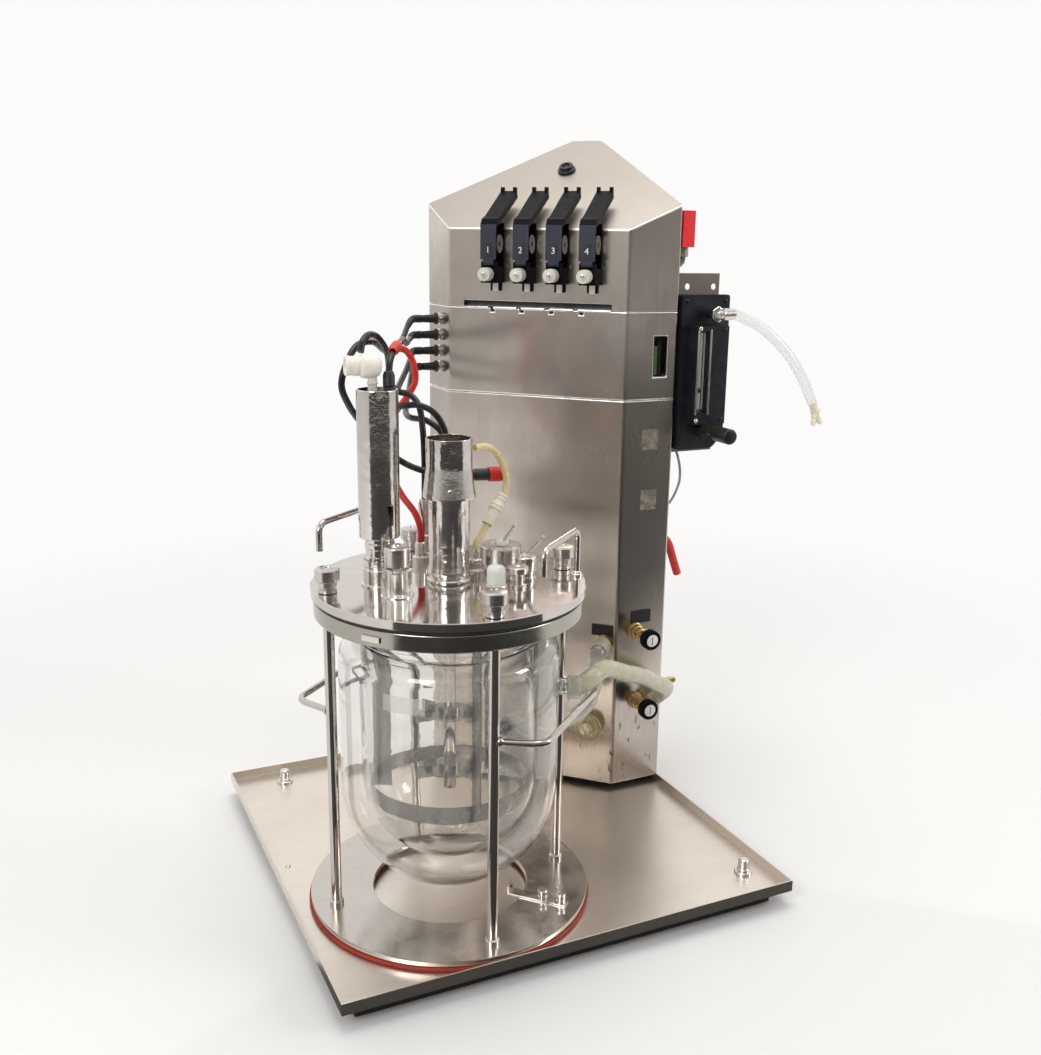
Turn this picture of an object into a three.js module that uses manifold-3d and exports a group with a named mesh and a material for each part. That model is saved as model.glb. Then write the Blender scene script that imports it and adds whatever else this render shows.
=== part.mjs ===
// Bench bioreactor: a jacketed glass vessel with a stirrer, held in a rod stand, beside a control
// tower with four peristaltic pump heads. Both stand in one stainless tray. Millimetres, +Z up.
import * as THREE from "three";
import { mergeVertices } from "three/addons/utils/BufferGeometryUtils.js";
import Module from "manifold-3d";

const wasm = await Module();
wasm.setup();

// ---- driving dimensions --------------------------------------------------------------------

const SEAT = 0.3; // gap left between two pieces where one rests on the other

const TRAY = { side: 450, sheet: 1.5, lip: 11.5, bottom: 16 };
const BASE_FRAME = { side: 420, rail: 34 };
const STUD = { radius: 5.5, height: 15, hole: 6.2, at: [[-169, 198], [200, -179]] };
const MAT = { radius: 133.5, thickness: 3.4 };

const VESSEL = { x: -76.5, y: -85.2 }; // the vessel's axis on the tray
const BASE_RING = { outer: 131.9, hole: 73.3, thickness: 5 };
const ROD = { radius: 4.8, circle: 111, height: 293, angles: [178, 268, 357, 88] };
const ROD_CLEARANCE = 0.6;
const ROD_STUD = { radius: 3.8, height: 17 };
const HANDLE = { radius: 3, reach: 138.4, inset: 16, bend: 15, height: 191 };
const CLIP = { angle: -46, from: 61, to: 119, width: 10, thickness: 2, screw: 4.5 };
const NUT = { neck: 8.5, cap: 11.3, neckHeight: 11, height: 22, bore: 4.4 };

const GLASS = { jacket: 101, inner: 80, wall: 3, flange: 103.5, shoulder: 18 };
const GLASS_HEIGHT = { jacketCentre: 111, innerCentre: 116 };
const GLASS_NECK = { shoulder: 57, taper: 31, flange: 11 }; // below the flange's top
const GLASS_FACETS = 26;
const NOZZLE = { radius: 7, bore: 4.5, reach: 108 };
const UPPER_NOZZLE = { angle: -24, height: 198.5 };
const LOWER_NOZZLE = { angle: 35, height: 128.5 };

const PLATE = { radius: 123.3, thickness: 8.2, rim: 1 };
const GASKET = { outer: 121, inner: 78.5, thickness: 2.4 };
const CLAMP = { outer: 121, height: 15.5, clearance: 0.7, split: 217, gap: 2 };

const HUB = { flange: 20, flangeHeight: 15, radius: 18.3, shoulder: 76.3, spigot: 15.8, top: 104 };
const HUB_BORE = { radius: 8, depth: 56 };
const SLEEVE = { skirt: 23.5, waist: 20.5, waistHeight: 28.5, height: 52.6, wall: 2, slit: 5 };
const CONDENSER_PORT = { x: -61, y: 11, radius: 15, height: 24 };
const CONDENSER = { neck: 12.5, neckTop: 43.7, radius: 18, height: 172.6, wall: 1.6, floor: 50 };
const ADDITION = {
  x: -58, y: -26, radius: 12.6, height: 25, cap: 11.4, capTop: 43.5, pilot: 6, pilotTop: 20,
};
const MULTI_PORT = { x: 56, y: 14, radius: 19.5, height: 24 };
const PLUG_PORT = { x: 47.6, y: -44.3, stem: 5.5, head: 9.3, stemHeight: 13, height: 19 };
const SIDE_PORT = { x: 65.2, y: -22, radius: 9.8, height: 21 };
const CAPPED_PORT = { x: 23, y: -52, radius: 8.2, rim: 9.8, rimHeight: 8, height: 24 };
const FEED_PORT = { x: 27.6, y: 4, radius: 6, height: 16, barb: 2.6, top: 24.5 };
const SOCKETS = [
  { x: 17.5, y: 49.2, radius: 6, height: 60 },
  { x: 24.5, y: 65.2, radius: 6, height: 60 },
  { x: 2, y: 68, radius: 6, height: 60 },
  { x: -6, y: 58, radius: 5.5, height: 22 },
];
const NEEDLE_TUBE_RADIUS = 1.6;
const NEEDLE_TUBES = [
  { x: 57.5, y: 12.6, from: 22, bendAt: 25, lean: [5.5, -16, 21] },
  { x: 66.3, y: -21, from: 19, bendAt: 22, lean: [8.7, -17, 20] },
];
const PIPE = { radius: 3, bend: 9 };
const RIGHT_PIPE = { foot: [113, -31], elbow: [50.5, -88.8], height: 43.8, drop: 22 };
const LEFT_PIPE = { foot: [-28.3, 113.5], elbow: [-104, 53], height: 49, drop: 25 };

const SHAFT = { radius: 5.5, bottom: 101, above: 46 };
const BEARING_CLEARANCE = 0.1;
const IMPELLER = { disc: 24, tip: 32, hub: 10.5, hubHeight: 14, sheet: 1.5 };
const BLADE = { height: 13, length: 15, count: 6 };
const IMPELLER_HEIGHTS = { lower: 122, upper: 180 };
const BAFFLES = { gap: 3.5, band: 2, bottom: 99, bandHeight: 16, width: 17.7, sheet: 1.6 };
const BAFFLE_ANGLES = [150, 30, 270];

const TOWER = { left: 24.3, right: 228, near: 30, far: 234, front: 196.3, backCut: 25, bend: 2.5 };
const TOWER_HEIGHT = { foot: 23.5, lowerSeam: 462.9, upperSeam: 555.3, roofFront: 637.4 };
const ROOF_SLOPE = 0.5935;
const PLINTH_INSET = 12;
const LIP_RELIEF = 0.5; // clearance where the case bottom is cut back over the tray lip
const HATCH = { from: -86.6, to: 79.3, height: 6.5, depth: 10, notches: 4, notch: 4 };
const BOARD_SLOT = { from: 200, to: 216, bottom: 487.5, top: 529.5, depth: 12 };
const GLAND = { y: 199, top: 540, pitch: 17.5, count: 4, ferrule: 5.2, boot: 4.6, reach: 22 };

const EAVES = TOWER_HEIGHT.roofFront; // the pump heads are set out from the roof's front edge
const PUMP = {
  first: -49, pitch: 35.7, count: 4, width: 17.6, bottom: EAVES - 55.9, top: EAVES + 5.1,
};
const PUMP_DEPTH = { back: 5, chin: 22.5, cover: 25, chinHeight: 15 };
const ROTOR = {
  out: 13, height: EAVES - 15.9, radius: 9.6, disc: 1.4, roller: 2.6, rollerCircle: 6.6,
};
const AXLE_RADIUS = 2.2;
const ROLLER_COUNT = 3;
const LEVER = { thickness: 8, wall: 1.8, tipIn: 36, tipHeight: EAVES + 40.1, elbowOut: 12 };
const LEVER_ELBOW = EAVES + 12.1;
const HINGE = { out: 20.5, height: EAVES - 36, pin: 1.4, barrel: 2.9, clearance: 0.12 };
const PUMP_KNOB = { radius: 7, length: 15, height: EAVES - 46.9 };

const BRACKET = { sheet: 2, flangeY: 38, reach: 283, bottom: 403.5, top: 594.5, leg: 48 };
const METER_PLATE = { left: 231.5, right: 291, bottom: 407.5, top: 572.5, front: 28, corner: 14 };
const METER = { left: 241, right: 281, bottom: 436.5, top: 540.5, front: 12 };
const METER_WINDOW = { left: 244, right: 257, bottom: 449, top: 535, depth: 11 };
const FLOW_TUBE = { radius: 4, x: 250.5 };
const METER_OUTLET = { x: 264, height: 553, out: 8, reach: 275, radius: 5 };
const NEEDLE = { x: 259, height: 429.5, boss: 8, bossFront: 14, stem: 3, stemFront: -14 };
const FLOW_KNOB = { radius: 9.5, back: -3, front: -33, ribs: 10 };
const RELIEF = { x: 238, y: 45, bottom: 604, collar: 611, blockBottom: 621, top: 658, pipe: 4.5 };
const RELIEF_HEAD = { halfWidth: 7.5, halfDepth: 12.5, nut: 7 };

const VALVES = [
  { name: "upper", x: 190, height: 206, front: -8 },
  { name: "lower", x: 194, height: 122, front: -3 },
];
const VALVE = { body: 8, bodyReach: 14, stem: 3, knob: 11, knobLength: 13, face: 6.8, side: 4 };
const FRONT_NOZZLE = { along: 83.8, height: 194, radius: 7, reach: 8 };
const SIDE_BARB = { y: 55, height: 127.5, reach: 34 };
const COUPLING = { from: [-16.5, -68.7, 398], to: [-36, -76.1, 373.3], sleeve: 5.2, rim: 7.4 };
const GAS_FITTING = { at: [379.3, -12.1, 457.4], down: [13, -1, -25], collar: 5.5, tail: 3, length: 26 };
const GAS_BRANCH = { radius: 2.6, length: 18, direction: [-4, -4, -14] };
const VENT = { neck: 4, offset: 4, depth: 14, body: 10, length: 30, start: 3, rise: 19 };
const COIL = { along: 69, height: 92.5, stub: 7.5, back: 4, front: 14, inner: 8.5, outer: 17 };
const ROOF_PLUG = { along: -7.6, depth: 107.2, radius: 10, height: 7 };

// ---- materials -----------------------------------------------------------------------------

function material(color, roughness, metalness, opacity = 1) {
  return new THREE.MeshStandardMaterial({
    color,
    roughness,
    metalness,
    opacity,
    transparent: opacity < 1,
  });
}

const steel = () => material(0xa9a49c, 0.38, 0.95);
const polished = () => material(0xcfccc8, 0.12, 1);
const blackPlastic = () => material(0x17171a, 0.45, 0);
const navyPlastic = () => material(0x1c2238, 0.4, 0);
const glass = () => material(0xdfe9e4, 0.05, 0, 0.35);
const rubber = (color) => material(color, 0.6, 0);

// ---- geometry helpers ----------------------------------------------------------------------

const radians = THREE.MathUtils.degToRad;

/** A point at a radius and an angle in degrees about the Z axis. */
function polar(radius, degrees, z = 0) {
  const a = radians(degrees);
  return new THREE.Vector3(radius * Math.cos(a), radius * Math.sin(a), z);
}

/** The closed mesh of a geometry as a solid that can be joined and cut. */
function solid(geometry) {
  const bare = geometry.index ? geometry.toNonIndexed() : geometry.clone();
  bare.deleteAttribute("normal");
  bare.deleteAttribute("uv");
  const merged = mergeVertices(bare, 1e-4);
  const corners = merged.index.array;
  const kept = [];
  for (let i = 0; i < corners.length; i += 3) {
    const [a, b, c] = corners.slice(i, i + 3);
    if (a !== b && b !== c && c !== a) {
      kept.push(a, b, c);
    }
  }
  return new wasm.Manifold(new wasm.Mesh({
    numProp: 3,
    vertProperties: new Float32Array(merged.attributes.position.array),
    triVerts: new Uint32Array(kept),
  }));
}

/** The geometry of a solid, with flat faces. */
function geometryOf(body) {
  const { vertProperties, triVerts } = body.getMesh();
  const geometry = new THREE.BufferGeometry();
  geometry.setAttribute("position", new THREE.BufferAttribute(vertProperties, 3));
  geometry.setIndex(new THREE.BufferAttribute(triVerts, 1));
  const flat = geometry.toNonIndexed();
  flat.computeVertexNormals();
  return flat;
}

const join = (first, ...others) => others.reduce((sum, next) => sum.add(next), first);
const cut = (first, ...others) => others.reduce((rest, next) => rest.subtract(next), first);

/** A box given by its lowest and highest corner. */
function boxGeometry(low, high) {
  const size = high.map((value, axis) => value - low[axis]);
  const box = new THREE.BoxGeometry(...size);
  return box.translate(...high.map((value, axis) => (value + low[axis]) / 2));
}

const block = (low, high) => solid(boxGeometry(low, high));

/** A body turned about Z from a profile of [radius, z] points that runs anticlockwise. */
function turnedGeometry(profile, segments) {
  const points = profile.map(([r, z]) => new THREE.Vector2(r, z));
  const onAxis = profile[0][0] === 0 && profile.at(-1)[0] === 0;
  if (!onAxis) {
    points.push(points[0].clone());
  }
  return new THREE.LatheGeometry(points, segments).rotateX(Math.PI / 2);
}

const turned = (profile, segments = 20) => solid(turnedGeometry(profile, segments));

/** A plain round bar along Z. */
function bar(radius, z0, z1, segments = 16, x = 0, y = 0) {
  const profile = [[0, z0], [radius, z0], [radius, z1], [0, z1]];
  return solid(turnedGeometry(profile, segments).translate(x, y, 0));
}

/** Moves a geometry built along Z so that it starts at a point and runs along a direction. */
function aim(geometry, start, direction) {
  const turn = new THREE.Quaternion().setFromUnitVectors(
    new THREE.Vector3(0, 0, 1),
    direction.clone().normalize(),
  );
  return geometry.applyQuaternion(turn).translate(start.x, start.y, start.z);
}

/** A turned body whose axis starts at a point and runs along a direction. */
function turnedAlong(profile, start, direction, segments = 16) {
  return solid(aim(turnedGeometry(profile, segments), start, direction));
}

/** A plain round bar from a point along a direction. */
function barAlong(radius, length, start, direction, segments = 12) {
  return turnedAlong([[0, 0], [radius, 0], [radius, length], [0, length]], start, direction, segments);
}

/** An arc of [r, z] points about a centre on the axis or off it, angles in degrees. */
function arc(centreR, centreZ, radius, from, to, steps) {
  return Array.from({ length: steps + 1 }, (_, i) => {
    const a = radians(from + ((to - from) * i) / steps);
    const r = centreR + radius * Math.cos(a);
    return [Math.abs(r) < 1e-6 ? 0 : r, centreZ + radius * Math.sin(a)];
  });
}

/** A closed outline through corner points, each corner rounded. */
function roundedShape(corners, radius) {
  const shape = new THREE.Shape();
  corners.forEach((corner, i) => {
    const before = corners.at(i - 1);
    const after = corners[(i + 1) % corners.length];
    const start = corner.clone().add(before.clone().sub(corner).setLength(radius));
    const end = corner.clone().add(after.clone().sub(corner).setLength(radius));
    if (i === 0) {
      shape.moveTo(start.x, start.y);
    } else {
      shape.lineTo(start.x, start.y);
    }
    shape.quadraticCurveTo(corner.x, corner.y, end.x, end.y);
  });
  shape.closePath();
  return shape;
}

/** An outline drawn in X and Y, made into a solid between two heights. */
function prism(shape, z0, z1, curveSegments = 3) {
  const options = { depth: z1 - z0, bevelEnabled: false, curveSegments };
  return new THREE.ExtrudeGeometry(shape, options).translate(0, 0, z0);
}

/** An outline drawn in Y and Z, made into a solid between two X positions. */
function sideGeometry(points, x0, x1) {
  const shape = new THREE.Shape(points.map(([y, z]) => new THREE.Vector2(y, z)));
  const toSide = new THREE.Matrix4().makeBasis(
    new THREE.Vector3(0, 1, 0),
    new THREE.Vector3(0, 0, 1),
    new THREE.Vector3(1, 0, 0),
  );
  return prism(shape, x0, x1).applyMatrix4(toSide);
}

const sideProfile = (points, x0, x1) => solid(sideGeometry(points, x0, x1));

/** A path of straight runs joined by arcs, with one step for each run. */
class BentPath extends THREE.Curve {
  constructor(corners, bendRadius, arcSteps = 3) {
    super();
    this.knots = [];
    corners.forEach((corner, i) => {
      if (i === 0 || i === corners.length - 1) {
        const other = corners[i === 0 ? 1 : i - 1];
        const along = i === 0 ? other.clone().sub(corner) : corner.clone().sub(other);
        this.knots.push({ point: corner, tangent: along.normalize() });
        return;
      }
      this.addBend(corners[i - 1], corner, corners[i + 1], bendRadius, arcSteps);
    });
  }

  addBend(before, corner, after, bendRadius, arcSteps) {
    const into = corner.clone().sub(before).normalize();
    const out = after.clone().sub(corner).normalize();
    const turn = into.angleTo(out);
    const trim = bendRadius * Math.tan(turn / 2);
    const inward = out.clone().sub(into.clone().multiplyScalar(Math.cos(turn))).normalize();
    const start = corner.clone().addScaledVector(into, -trim);
    const centre = start.clone().addScaledVector(inward, bendRadius);
    for (let k = 0; k <= arcSteps; k += 1) {
      const a = (turn * k) / arcSteps;
      const radial = inward.clone().multiplyScalar(-Math.cos(a)).addScaledVector(into, Math.sin(a));
      const tangent = into.clone().multiplyScalar(Math.cos(a)).addScaledVector(inward, Math.sin(a));
      this.knots.push({ point: centre.clone().addScaledVector(radial, bendRadius), tangent });
    }
  }

  get steps() {
    return this.knots.length - 1;
  }

  knotAt(u) {
    return this.knots[Math.round(u * this.steps)];
  }

  getPointAt(u, target = new THREE.Vector3()) {
    return target.copy(this.knotAt(u).point);
  }

  getTangentAt(u, target = new THREE.Vector3()) {
    return target.copy(this.knotAt(u).tangent);
  }
}

/** A round section of a few sides, drawn anticlockwise. */
function section(radius, sides) {
  const corners = Array.from({ length: sides }, (_, i) => {
    const p = polar(radius, (360 * i) / sides);
    return new THREE.Vector2(p.x, p.y);
  });
  return new THREE.Shape(corners);
}

/** A rod bent at its corner points. */
function bentRod(corners, radius, bendRadius, sides = 8) {
  const path = new BentPath(corners, bendRadius);
  const options = { steps: path.steps, extrudePath: path, bevelEnabled: false };
  return solid(new THREE.ExtrudeGeometry(section(radius, sides), options));
}

/** A flexible hose or cable along a smooth route. */
function hoseGeometry(route, radius, sides = 8) {
  const points = route.map((p) => new THREE.Vector3(...p));
  const curve = new THREE.CatmullRomCurve3(points, false, "centripetal");
  const steps = Math.ceil(curve.getLength() / (radius * 6));
  const options = { steps, extrudePath: curve, bevelEnabled: false };
  return new THREE.ExtrudeGeometry(section(radius, sides), options);
}

// ---- the scene -----------------------------------------------------------------------------

const bioreactor = new THREE.Group();
bioreactor.name = "bench_bioreactor";

const vessel = new THREE.Group();
vessel.position.set(VESSEL.x, VESSEL.y, 0);
bioreactor.add(vessel);

/** Adds a named piece, from a solid or a geometry, to a group. */
function addPiece(group, name, shape, surface) {
  const geometry = shape instanceof THREE.BufferGeometry ? shape : geometryOf(shape);
  const piece = new THREE.Mesh(geometry, surface);
  piece.name = name;
  group.add(piece);
  return piece;
}

// Heights of the stack, from the bench up.
const FLOOR = TRAY.bottom + TRAY.sheet;
const LIP_TOP = TRAY.bottom + TRAY.lip;
const MAT_TOP = FLOOR + SEAT + MAT.thickness;
const RING_BOTTOM = MAT_TOP + SEAT;
const RING_TOP = RING_BOTTOM + BASE_RING.thickness;
const PLATE_BOTTOM = RING_TOP + ROD.height;
const PLATE_TOP = PLATE_BOTTOM + PLATE.thickness;
const GASKET_TOP = PLATE_BOTTOM - SEAT;
const FLANGE_TOP = GASKET_TOP - GASKET.thickness - SEAT;

// ---- tray and base -------------------------------------------------------------------------

function makeTray() {
  const half = TRAY.side / 2;
  const inside = half - TRAY.sheet;
  const pan = cut(
    block([-half, -half, TRAY.bottom], [half, half, LIP_TOP]),
    block([-inside, -inside, FLOOR], [inside, inside, LIP_TOP + 1]),
  );
  const holes = STUD.at.map(([x, y]) => bar(STUD.hole, TRAY.bottom - 1, FLOOR + 1, 16, x, y));
  return cut(pan, ...holes);
}

/** The recessed frame under the tray, with the two locating studs that stand up through it. */
function makeBaseFrame() {
  const half = BASE_FRAME.side / 2;
  const inside = half - BASE_FRAME.rail;
  const top = TRAY.bottom - SEAT;
  const rails = cut(
    block([-half, -half, 0], [half, half, top]),
    block([-inside, -inside, -1], [inside, inside, top + 1]),
  );
  const studTop = FLOOR + STUD.height;
  const profile = [
    [0, top - 2],
    [STUD.radius, top - 2],
    [STUD.radius, studTop - 2],
    [STUD.radius - 2, studTop],
    [0, studTop],
  ];
  const studs = STUD.at.map(([x, y]) => solid(turnedGeometry(profile, 16).translate(x, y, 0)));
  return join(rails, ...studs);
}

function makeMat() {
  const top = MAT_TOP;
  const bottom = FLOOR + SEAT;
  return turned([[0, bottom], [MAT.radius, bottom], [MAT.radius, top], [0, top]], 40);
}

// ---- vessel stand --------------------------------------------------------------------------

/** The latch strip on the base ring, with its hooked end and two thumb screws. */
function makeClip() {
  const z = RING_TOP - 0.5;
  const top = RING_TOP + CLIP.thickness;
  const half = CLIP.width / 2;
  const strip = boxGeometry([CLIP.from, -half, z], [CLIP.to, half, top]);
  const hook = boxGeometry([CLIP.from, -half, top - 1], [CLIP.from + 2, half, top + 7]);
  const screws = [CLIP.to - 6, CLIP.to - 24].map((x) =>
    turnedGeometry([[0, top - 1], [CLIP.screw, top - 1], [CLIP.screw, top + 8], [0, top + 8]], 12)
      .translate(x, 0, 0));
  const parts = [strip, hook, ...screws].map((g) => solid(g.rotateZ(radians(CLIP.angle))));
  return join(...parts);
}

/** One rod with its foot collar and the threaded stud that passes through the head plate. */
function makeRod(angle) {
  const profile = [
    [0, RING_BOTTOM + 0.5],
    [ROD.radius + 1.7, RING_BOTTOM + 0.5],
    [ROD.radius + 1.7, RING_TOP + 4],
    [ROD.radius, RING_TOP + 5],
    [ROD.radius, GASKET_TOP],
    [ROD_STUD.radius, GASKET_TOP],
    [ROD_STUD.radius, PLATE_TOP + ROD_STUD.height],
    [0, PLATE_TOP + ROD_STUD.height],
  ];
  const at = polar(ROD.circle, angle);
  return solid(turnedGeometry(profile, 10).translate(at.x, at.y, 0));
}

/** The carry handle welded between two neighbouring rods. */
function makeHandle(fromAngle, toAngle) {
  const z = HANDLE.height + RING_TOP;
  return bentRod([
    polar(ROD.circle, fromAngle, z),
    polar(HANDLE.reach, fromAngle + HANDLE.inset, z),
    polar(HANDLE.reach, toAngle - HANDLE.inset, z),
    polar(ROD.circle, toAngle, z),
  ], HANDLE.radius, HANDLE.bend);
}

function makeStand() {
  const ring = turned([
    [BASE_RING.hole, RING_BOTTOM],
    [BASE_RING.outer, RING_BOTTOM],
    [BASE_RING.outer, RING_TOP - 0.8],
    [BASE_RING.outer - 0.8, RING_TOP],
    [BASE_RING.hole, RING_TOP],
  ], 44);
  const [left, front, right, back] = ROD.angles;
  const rods = ROD.angles.map(makeRod);
  const handles = [makeHandle(front, right), makeHandle(back, left)];
  return join(ring, ...rods, ...handles, makeClip());
}

function makeNut(angle) {
  const bottom = PLATE_TOP + SEAT;
  const roof = PLATE_TOP + ROD_STUD.height + SEAT;
  const top = PLATE_TOP + NUT.height;
  const waist = PLATE_TOP + NUT.neckHeight;
  const at = polar(ROD.circle, angle);
  return turnedGeometry([
    [0, roof],
    [NUT.bore, roof],
    [NUT.bore, bottom],
    [NUT.neck, bottom],
    [NUT.neck, waist - 1.5],
    [NUT.cap, waist],
    [NUT.cap, top - 1],
    [NUT.cap - 1, top],
    [0, top],
  ], 14).translate(at.x, at.y, 0);
}

// ---- glass vessel --------------------------------------------------------------------------

/** A round-bottomed cup shape, from the pole up to a height. */
function cupProfile(radius, centre, top, steps = 6) {
  return [...arc(0, centre, radius, -90, 0, steps), [radius, top], [0, top]];
}

function nozzleSolid({ angle, height }, radius, from, to) {
  const start = polar(from, angle, RING_TOP + height);
  return barAlong(radius, to - from, start, polar(1, angle), 12);
}

/** The jacketed vessel: an inner cup and an outer jacket, joined under a thick ground flange. */
function makeGlass() {
  const jacketCentre = RING_TOP + GLASS_HEIGHT.jacketCentre;
  const innerCentre = RING_TOP + GLASS_HEIGHT.innerCentre;
  const shoulder = FLANGE_TOP - GLASS_NECK.shoulder;
  const taper = FLANGE_TOP - GLASS_NECK.taper;
  const flange = FLANGE_TOP - GLASS_NECK.flange;
  const curl = GLASS.shoulder;
  const outer = turned([
    ...arc(0, jacketCentre, GLASS.jacket, -90, 0, 6),
    ...arc(GLASS.jacket - curl, shoulder, curl, 0, 90, 3),
    [GLASS.jacket - curl, taper],
    [GLASS.flange, flange],
    [GLASS.flange, FLANGE_TOP],
    [0, FLANGE_TOP],
  ], GLASS_FACETS);
  const cup = cupProfile(GLASS.inner - GLASS.wall, innerCentre, FLANGE_TOP + 1);
  const bore = turned(cup, GLASS_FACETS);
  const space = turned([
    ...arc(0, jacketCentre, GLASS.jacket - GLASS.wall, -90, 0, 6),
    ...arc(GLASS.jacket - curl, shoulder, curl - GLASS.wall, 0, 90, 3),
    [GLASS.inner, shoulder + curl - GLASS.wall],
    ...arc(0, innerCentre, GLASS.inner, 0, -90, 6),
  ], GLASS_FACETS);
  const nozzles = [UPPER_NOZZLE, LOWER_NOZZLE];
  const within = GLASS.jacket - GLASS.wall - 1;
  const stubs = nozzles.map((n) => nozzleSolid(n, NOZZLE.radius, within, NOZZLE.reach));
  const bores = nozzles.map((n) => nozzleSolid(n, NOZZLE.bore, within - 2, NOZZLE.reach + 1));
  return cut(join(cut(outer, space), ...stubs), bore, ...bores);
}

function rodHoles(radius, z0, z1) {
  return ROD.angles.map((angle) => {
    const at = polar(ROD.circle, angle);
    return bar(radius, z0, z1, 10, at.x, at.y);
  });
}

/** The split ring that grips the glass flange from below. */
function makeClampRing() {
  const top = FLANGE_TOP;
  const bottom = top - CLAMP.height;
  const inner = GLASS.flange + CLAMP.clearance;
  const ring = turned([
    [inner - 2.5, bottom],
    [CLAMP.outer - 1, bottom],
    [CLAMP.outer, bottom + 1],
    [CLAMP.outer, top],
    [inner, top],
    [inner, bottom + 4],
  ], 44);
  const slit = solid(boxGeometry([90, -CLAMP.gap / 2, -30], [130, CLAMP.gap / 2, 30])
    .rotateX(radians(28))
    .rotateZ(radians(CLAMP.split))
    .translate(0, 0, (top + bottom) / 2));
  return cut(ring, slit, ...rodHoles(ROD.radius + ROD_CLEARANCE, bottom - 1, top + 1));
}

function makeGasket() {
  const bottom = FLANGE_TOP + SEAT;
  const profile = [
    [GASKET.inner, bottom],
    [GASKET.outer, bottom],
    [GASKET.outer, GASKET_TOP],
    [GASKET.inner, GASKET_TOP],
  ];
  const holes = rodHoles(ROD.radius + ROD_CLEARANCE, bottom - 1, GASKET_TOP + 1);
  return cut(turned(profile, 36), ...holes);
}

// ---- head plate and what stands on it ------------------------------------------------------

/** A stub on the head plate, given by its steps of [radius, top] above the plate. */
function port({ x, y }, steps, segments = 16) {
  const base = PLATE_TOP - 1;
  const profile = [[0, base]];
  let low = base;
  steps.forEach(([radius, top]) => {
    profile.push([radius, low], [radius, PLATE_TOP + top]);
    low = PLATE_TOP + top;
  });
  profile.push([0, low]);
  return solid(turnedGeometry(profile, segments).translate(x, y, 0));
}

/** A bent pipe that leaves the plate, crosses level and drops to an open end. */
function makeTransferPipe({ foot, elbow, height, drop }) {
  const top = PLATE_TOP + height;
  const pipe = bentRod([
    new THREE.Vector3(foot[0], foot[1], PLATE_TOP - 1),
    new THREE.Vector3(foot[0], foot[1], top),
    new THREE.Vector3(elbow[0], elbow[1], top),
    new THREE.Vector3(elbow[0], elbow[1], top - drop),
  ], PIPE.radius, PIPE.bend);
  const bore = bar(PIPE.radius - 1, top - drop - 1, top - drop + 8, 8, elbow[0], elbow[1]);
  const collar = port({ x: foot[0], y: foot[1] }, [[PIPE.radius + 1.5, 3]], 12);
  return join(cut(pipe, bore), collar);
}

/** A needle tube that leans over from the top of a port. */
function makeNeedleTube({ x, y, from, bendAt, lean }) {
  const bend = new THREE.Vector3(x, y, PLATE_TOP + bendAt);
  return bentRod([
    new THREE.Vector3(x, y, PLATE_TOP + from),
    bend,
    bend.clone().add(new THREE.Vector3(...lean)),
  ], NEEDLE_TUBE_RADIUS, 3, 6);
}

function makeHeadPlate() {
  const disc = turned([
    [0, PLATE_BOTTOM],
    [PLATE.radius - PLATE.rim, PLATE_BOTTOM],
    [PLATE.radius, PLATE_BOTTOM + PLATE.rim],
    [PLATE.radius, PLATE_TOP - PLATE.rim],
    [PLATE.radius - PLATE.rim, PLATE_TOP],
    [0, PLATE_TOP],
  ], 48);
  const shaftHole = bar(HUB_BORE.radius, PLATE_BOTTOM - 1, PLATE_TOP + 1);
  const studHoles = rodHoles(ROD_STUD.radius + ROD_CLEARANCE, PLATE_BOTTOM - 1, PLATE_TOP + 1);
  const drilled = cut(disc, shaftHole, ...studHoles);
  const ports = [
    port(CONDENSER_PORT, [[CONDENSER_PORT.radius, CONDENSER_PORT.height]]),
    port(MULTI_PORT, [[MULTI_PORT.radius, MULTI_PORT.height]], 20),
    port(SIDE_PORT, [[SIDE_PORT.radius, SIDE_PORT.height]], 14),
    port(CAPPED_PORT, [
      [CAPPED_PORT.rim, CAPPED_PORT.rimHeight],
      [CAPPED_PORT.radius, CAPPED_PORT.height],
    ], 14),
    port(PLUG_PORT, [
      [PLUG_PORT.stem, PLUG_PORT.stemHeight],
      [PLUG_PORT.head, PLUG_PORT.height],
    ]),
    port(FEED_PORT, [[FEED_PORT.radius, FEED_PORT.height], [FEED_PORT.barb, FEED_PORT.top]], 12),
    port(ADDITION, [[ADDITION.pilot, ADDITION.pilotTop]], 12),
    ...SOCKETS.map((socket) => port(socket, [[socket.radius, socket.height]], 8)),
  ];
  const needles = NEEDLE_TUBES.map(makeNeedleTube);
  const pipes = [RIGHT_PIPE, LEFT_PIPE].map(makeTransferPipe);
  return join(drilled, ...ports, ...needles, ...pipes);
}

/** The drive hub: a flange, a barrel and the spigot that carries the sleeve, bored for the shaft. */
function makeHub() {
  const base = PLATE_TOP + SEAT;
  const body = turned([
    [0, base],
    [HUB.flange, base],
    [HUB.flange, base + HUB.flangeHeight - 3],
    [HUB.radius, base + HUB.flangeHeight],
    [HUB.radius, PLATE_TOP + HUB.shoulder],
    [HUB.spigot, PLATE_TOP + HUB.shoulder],
    [HUB.spigot, PLATE_TOP + HUB.top],
    [0, PLATE_TOP + HUB.top],
  ]);
  const bearingTop = base + 12;
  const collar = (SHAFT.radius + BEARING_CLEARANCE) / Math.cos(Math.PI / 16);
  const bearing = bar(collar, base - 1, bearingTop + 1);
  const bore = bar(HUB_BORE.radius, bearingTop, PLATE_TOP + HUB_BORE.depth);
  return cut(body, bearing, bore);
}

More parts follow.
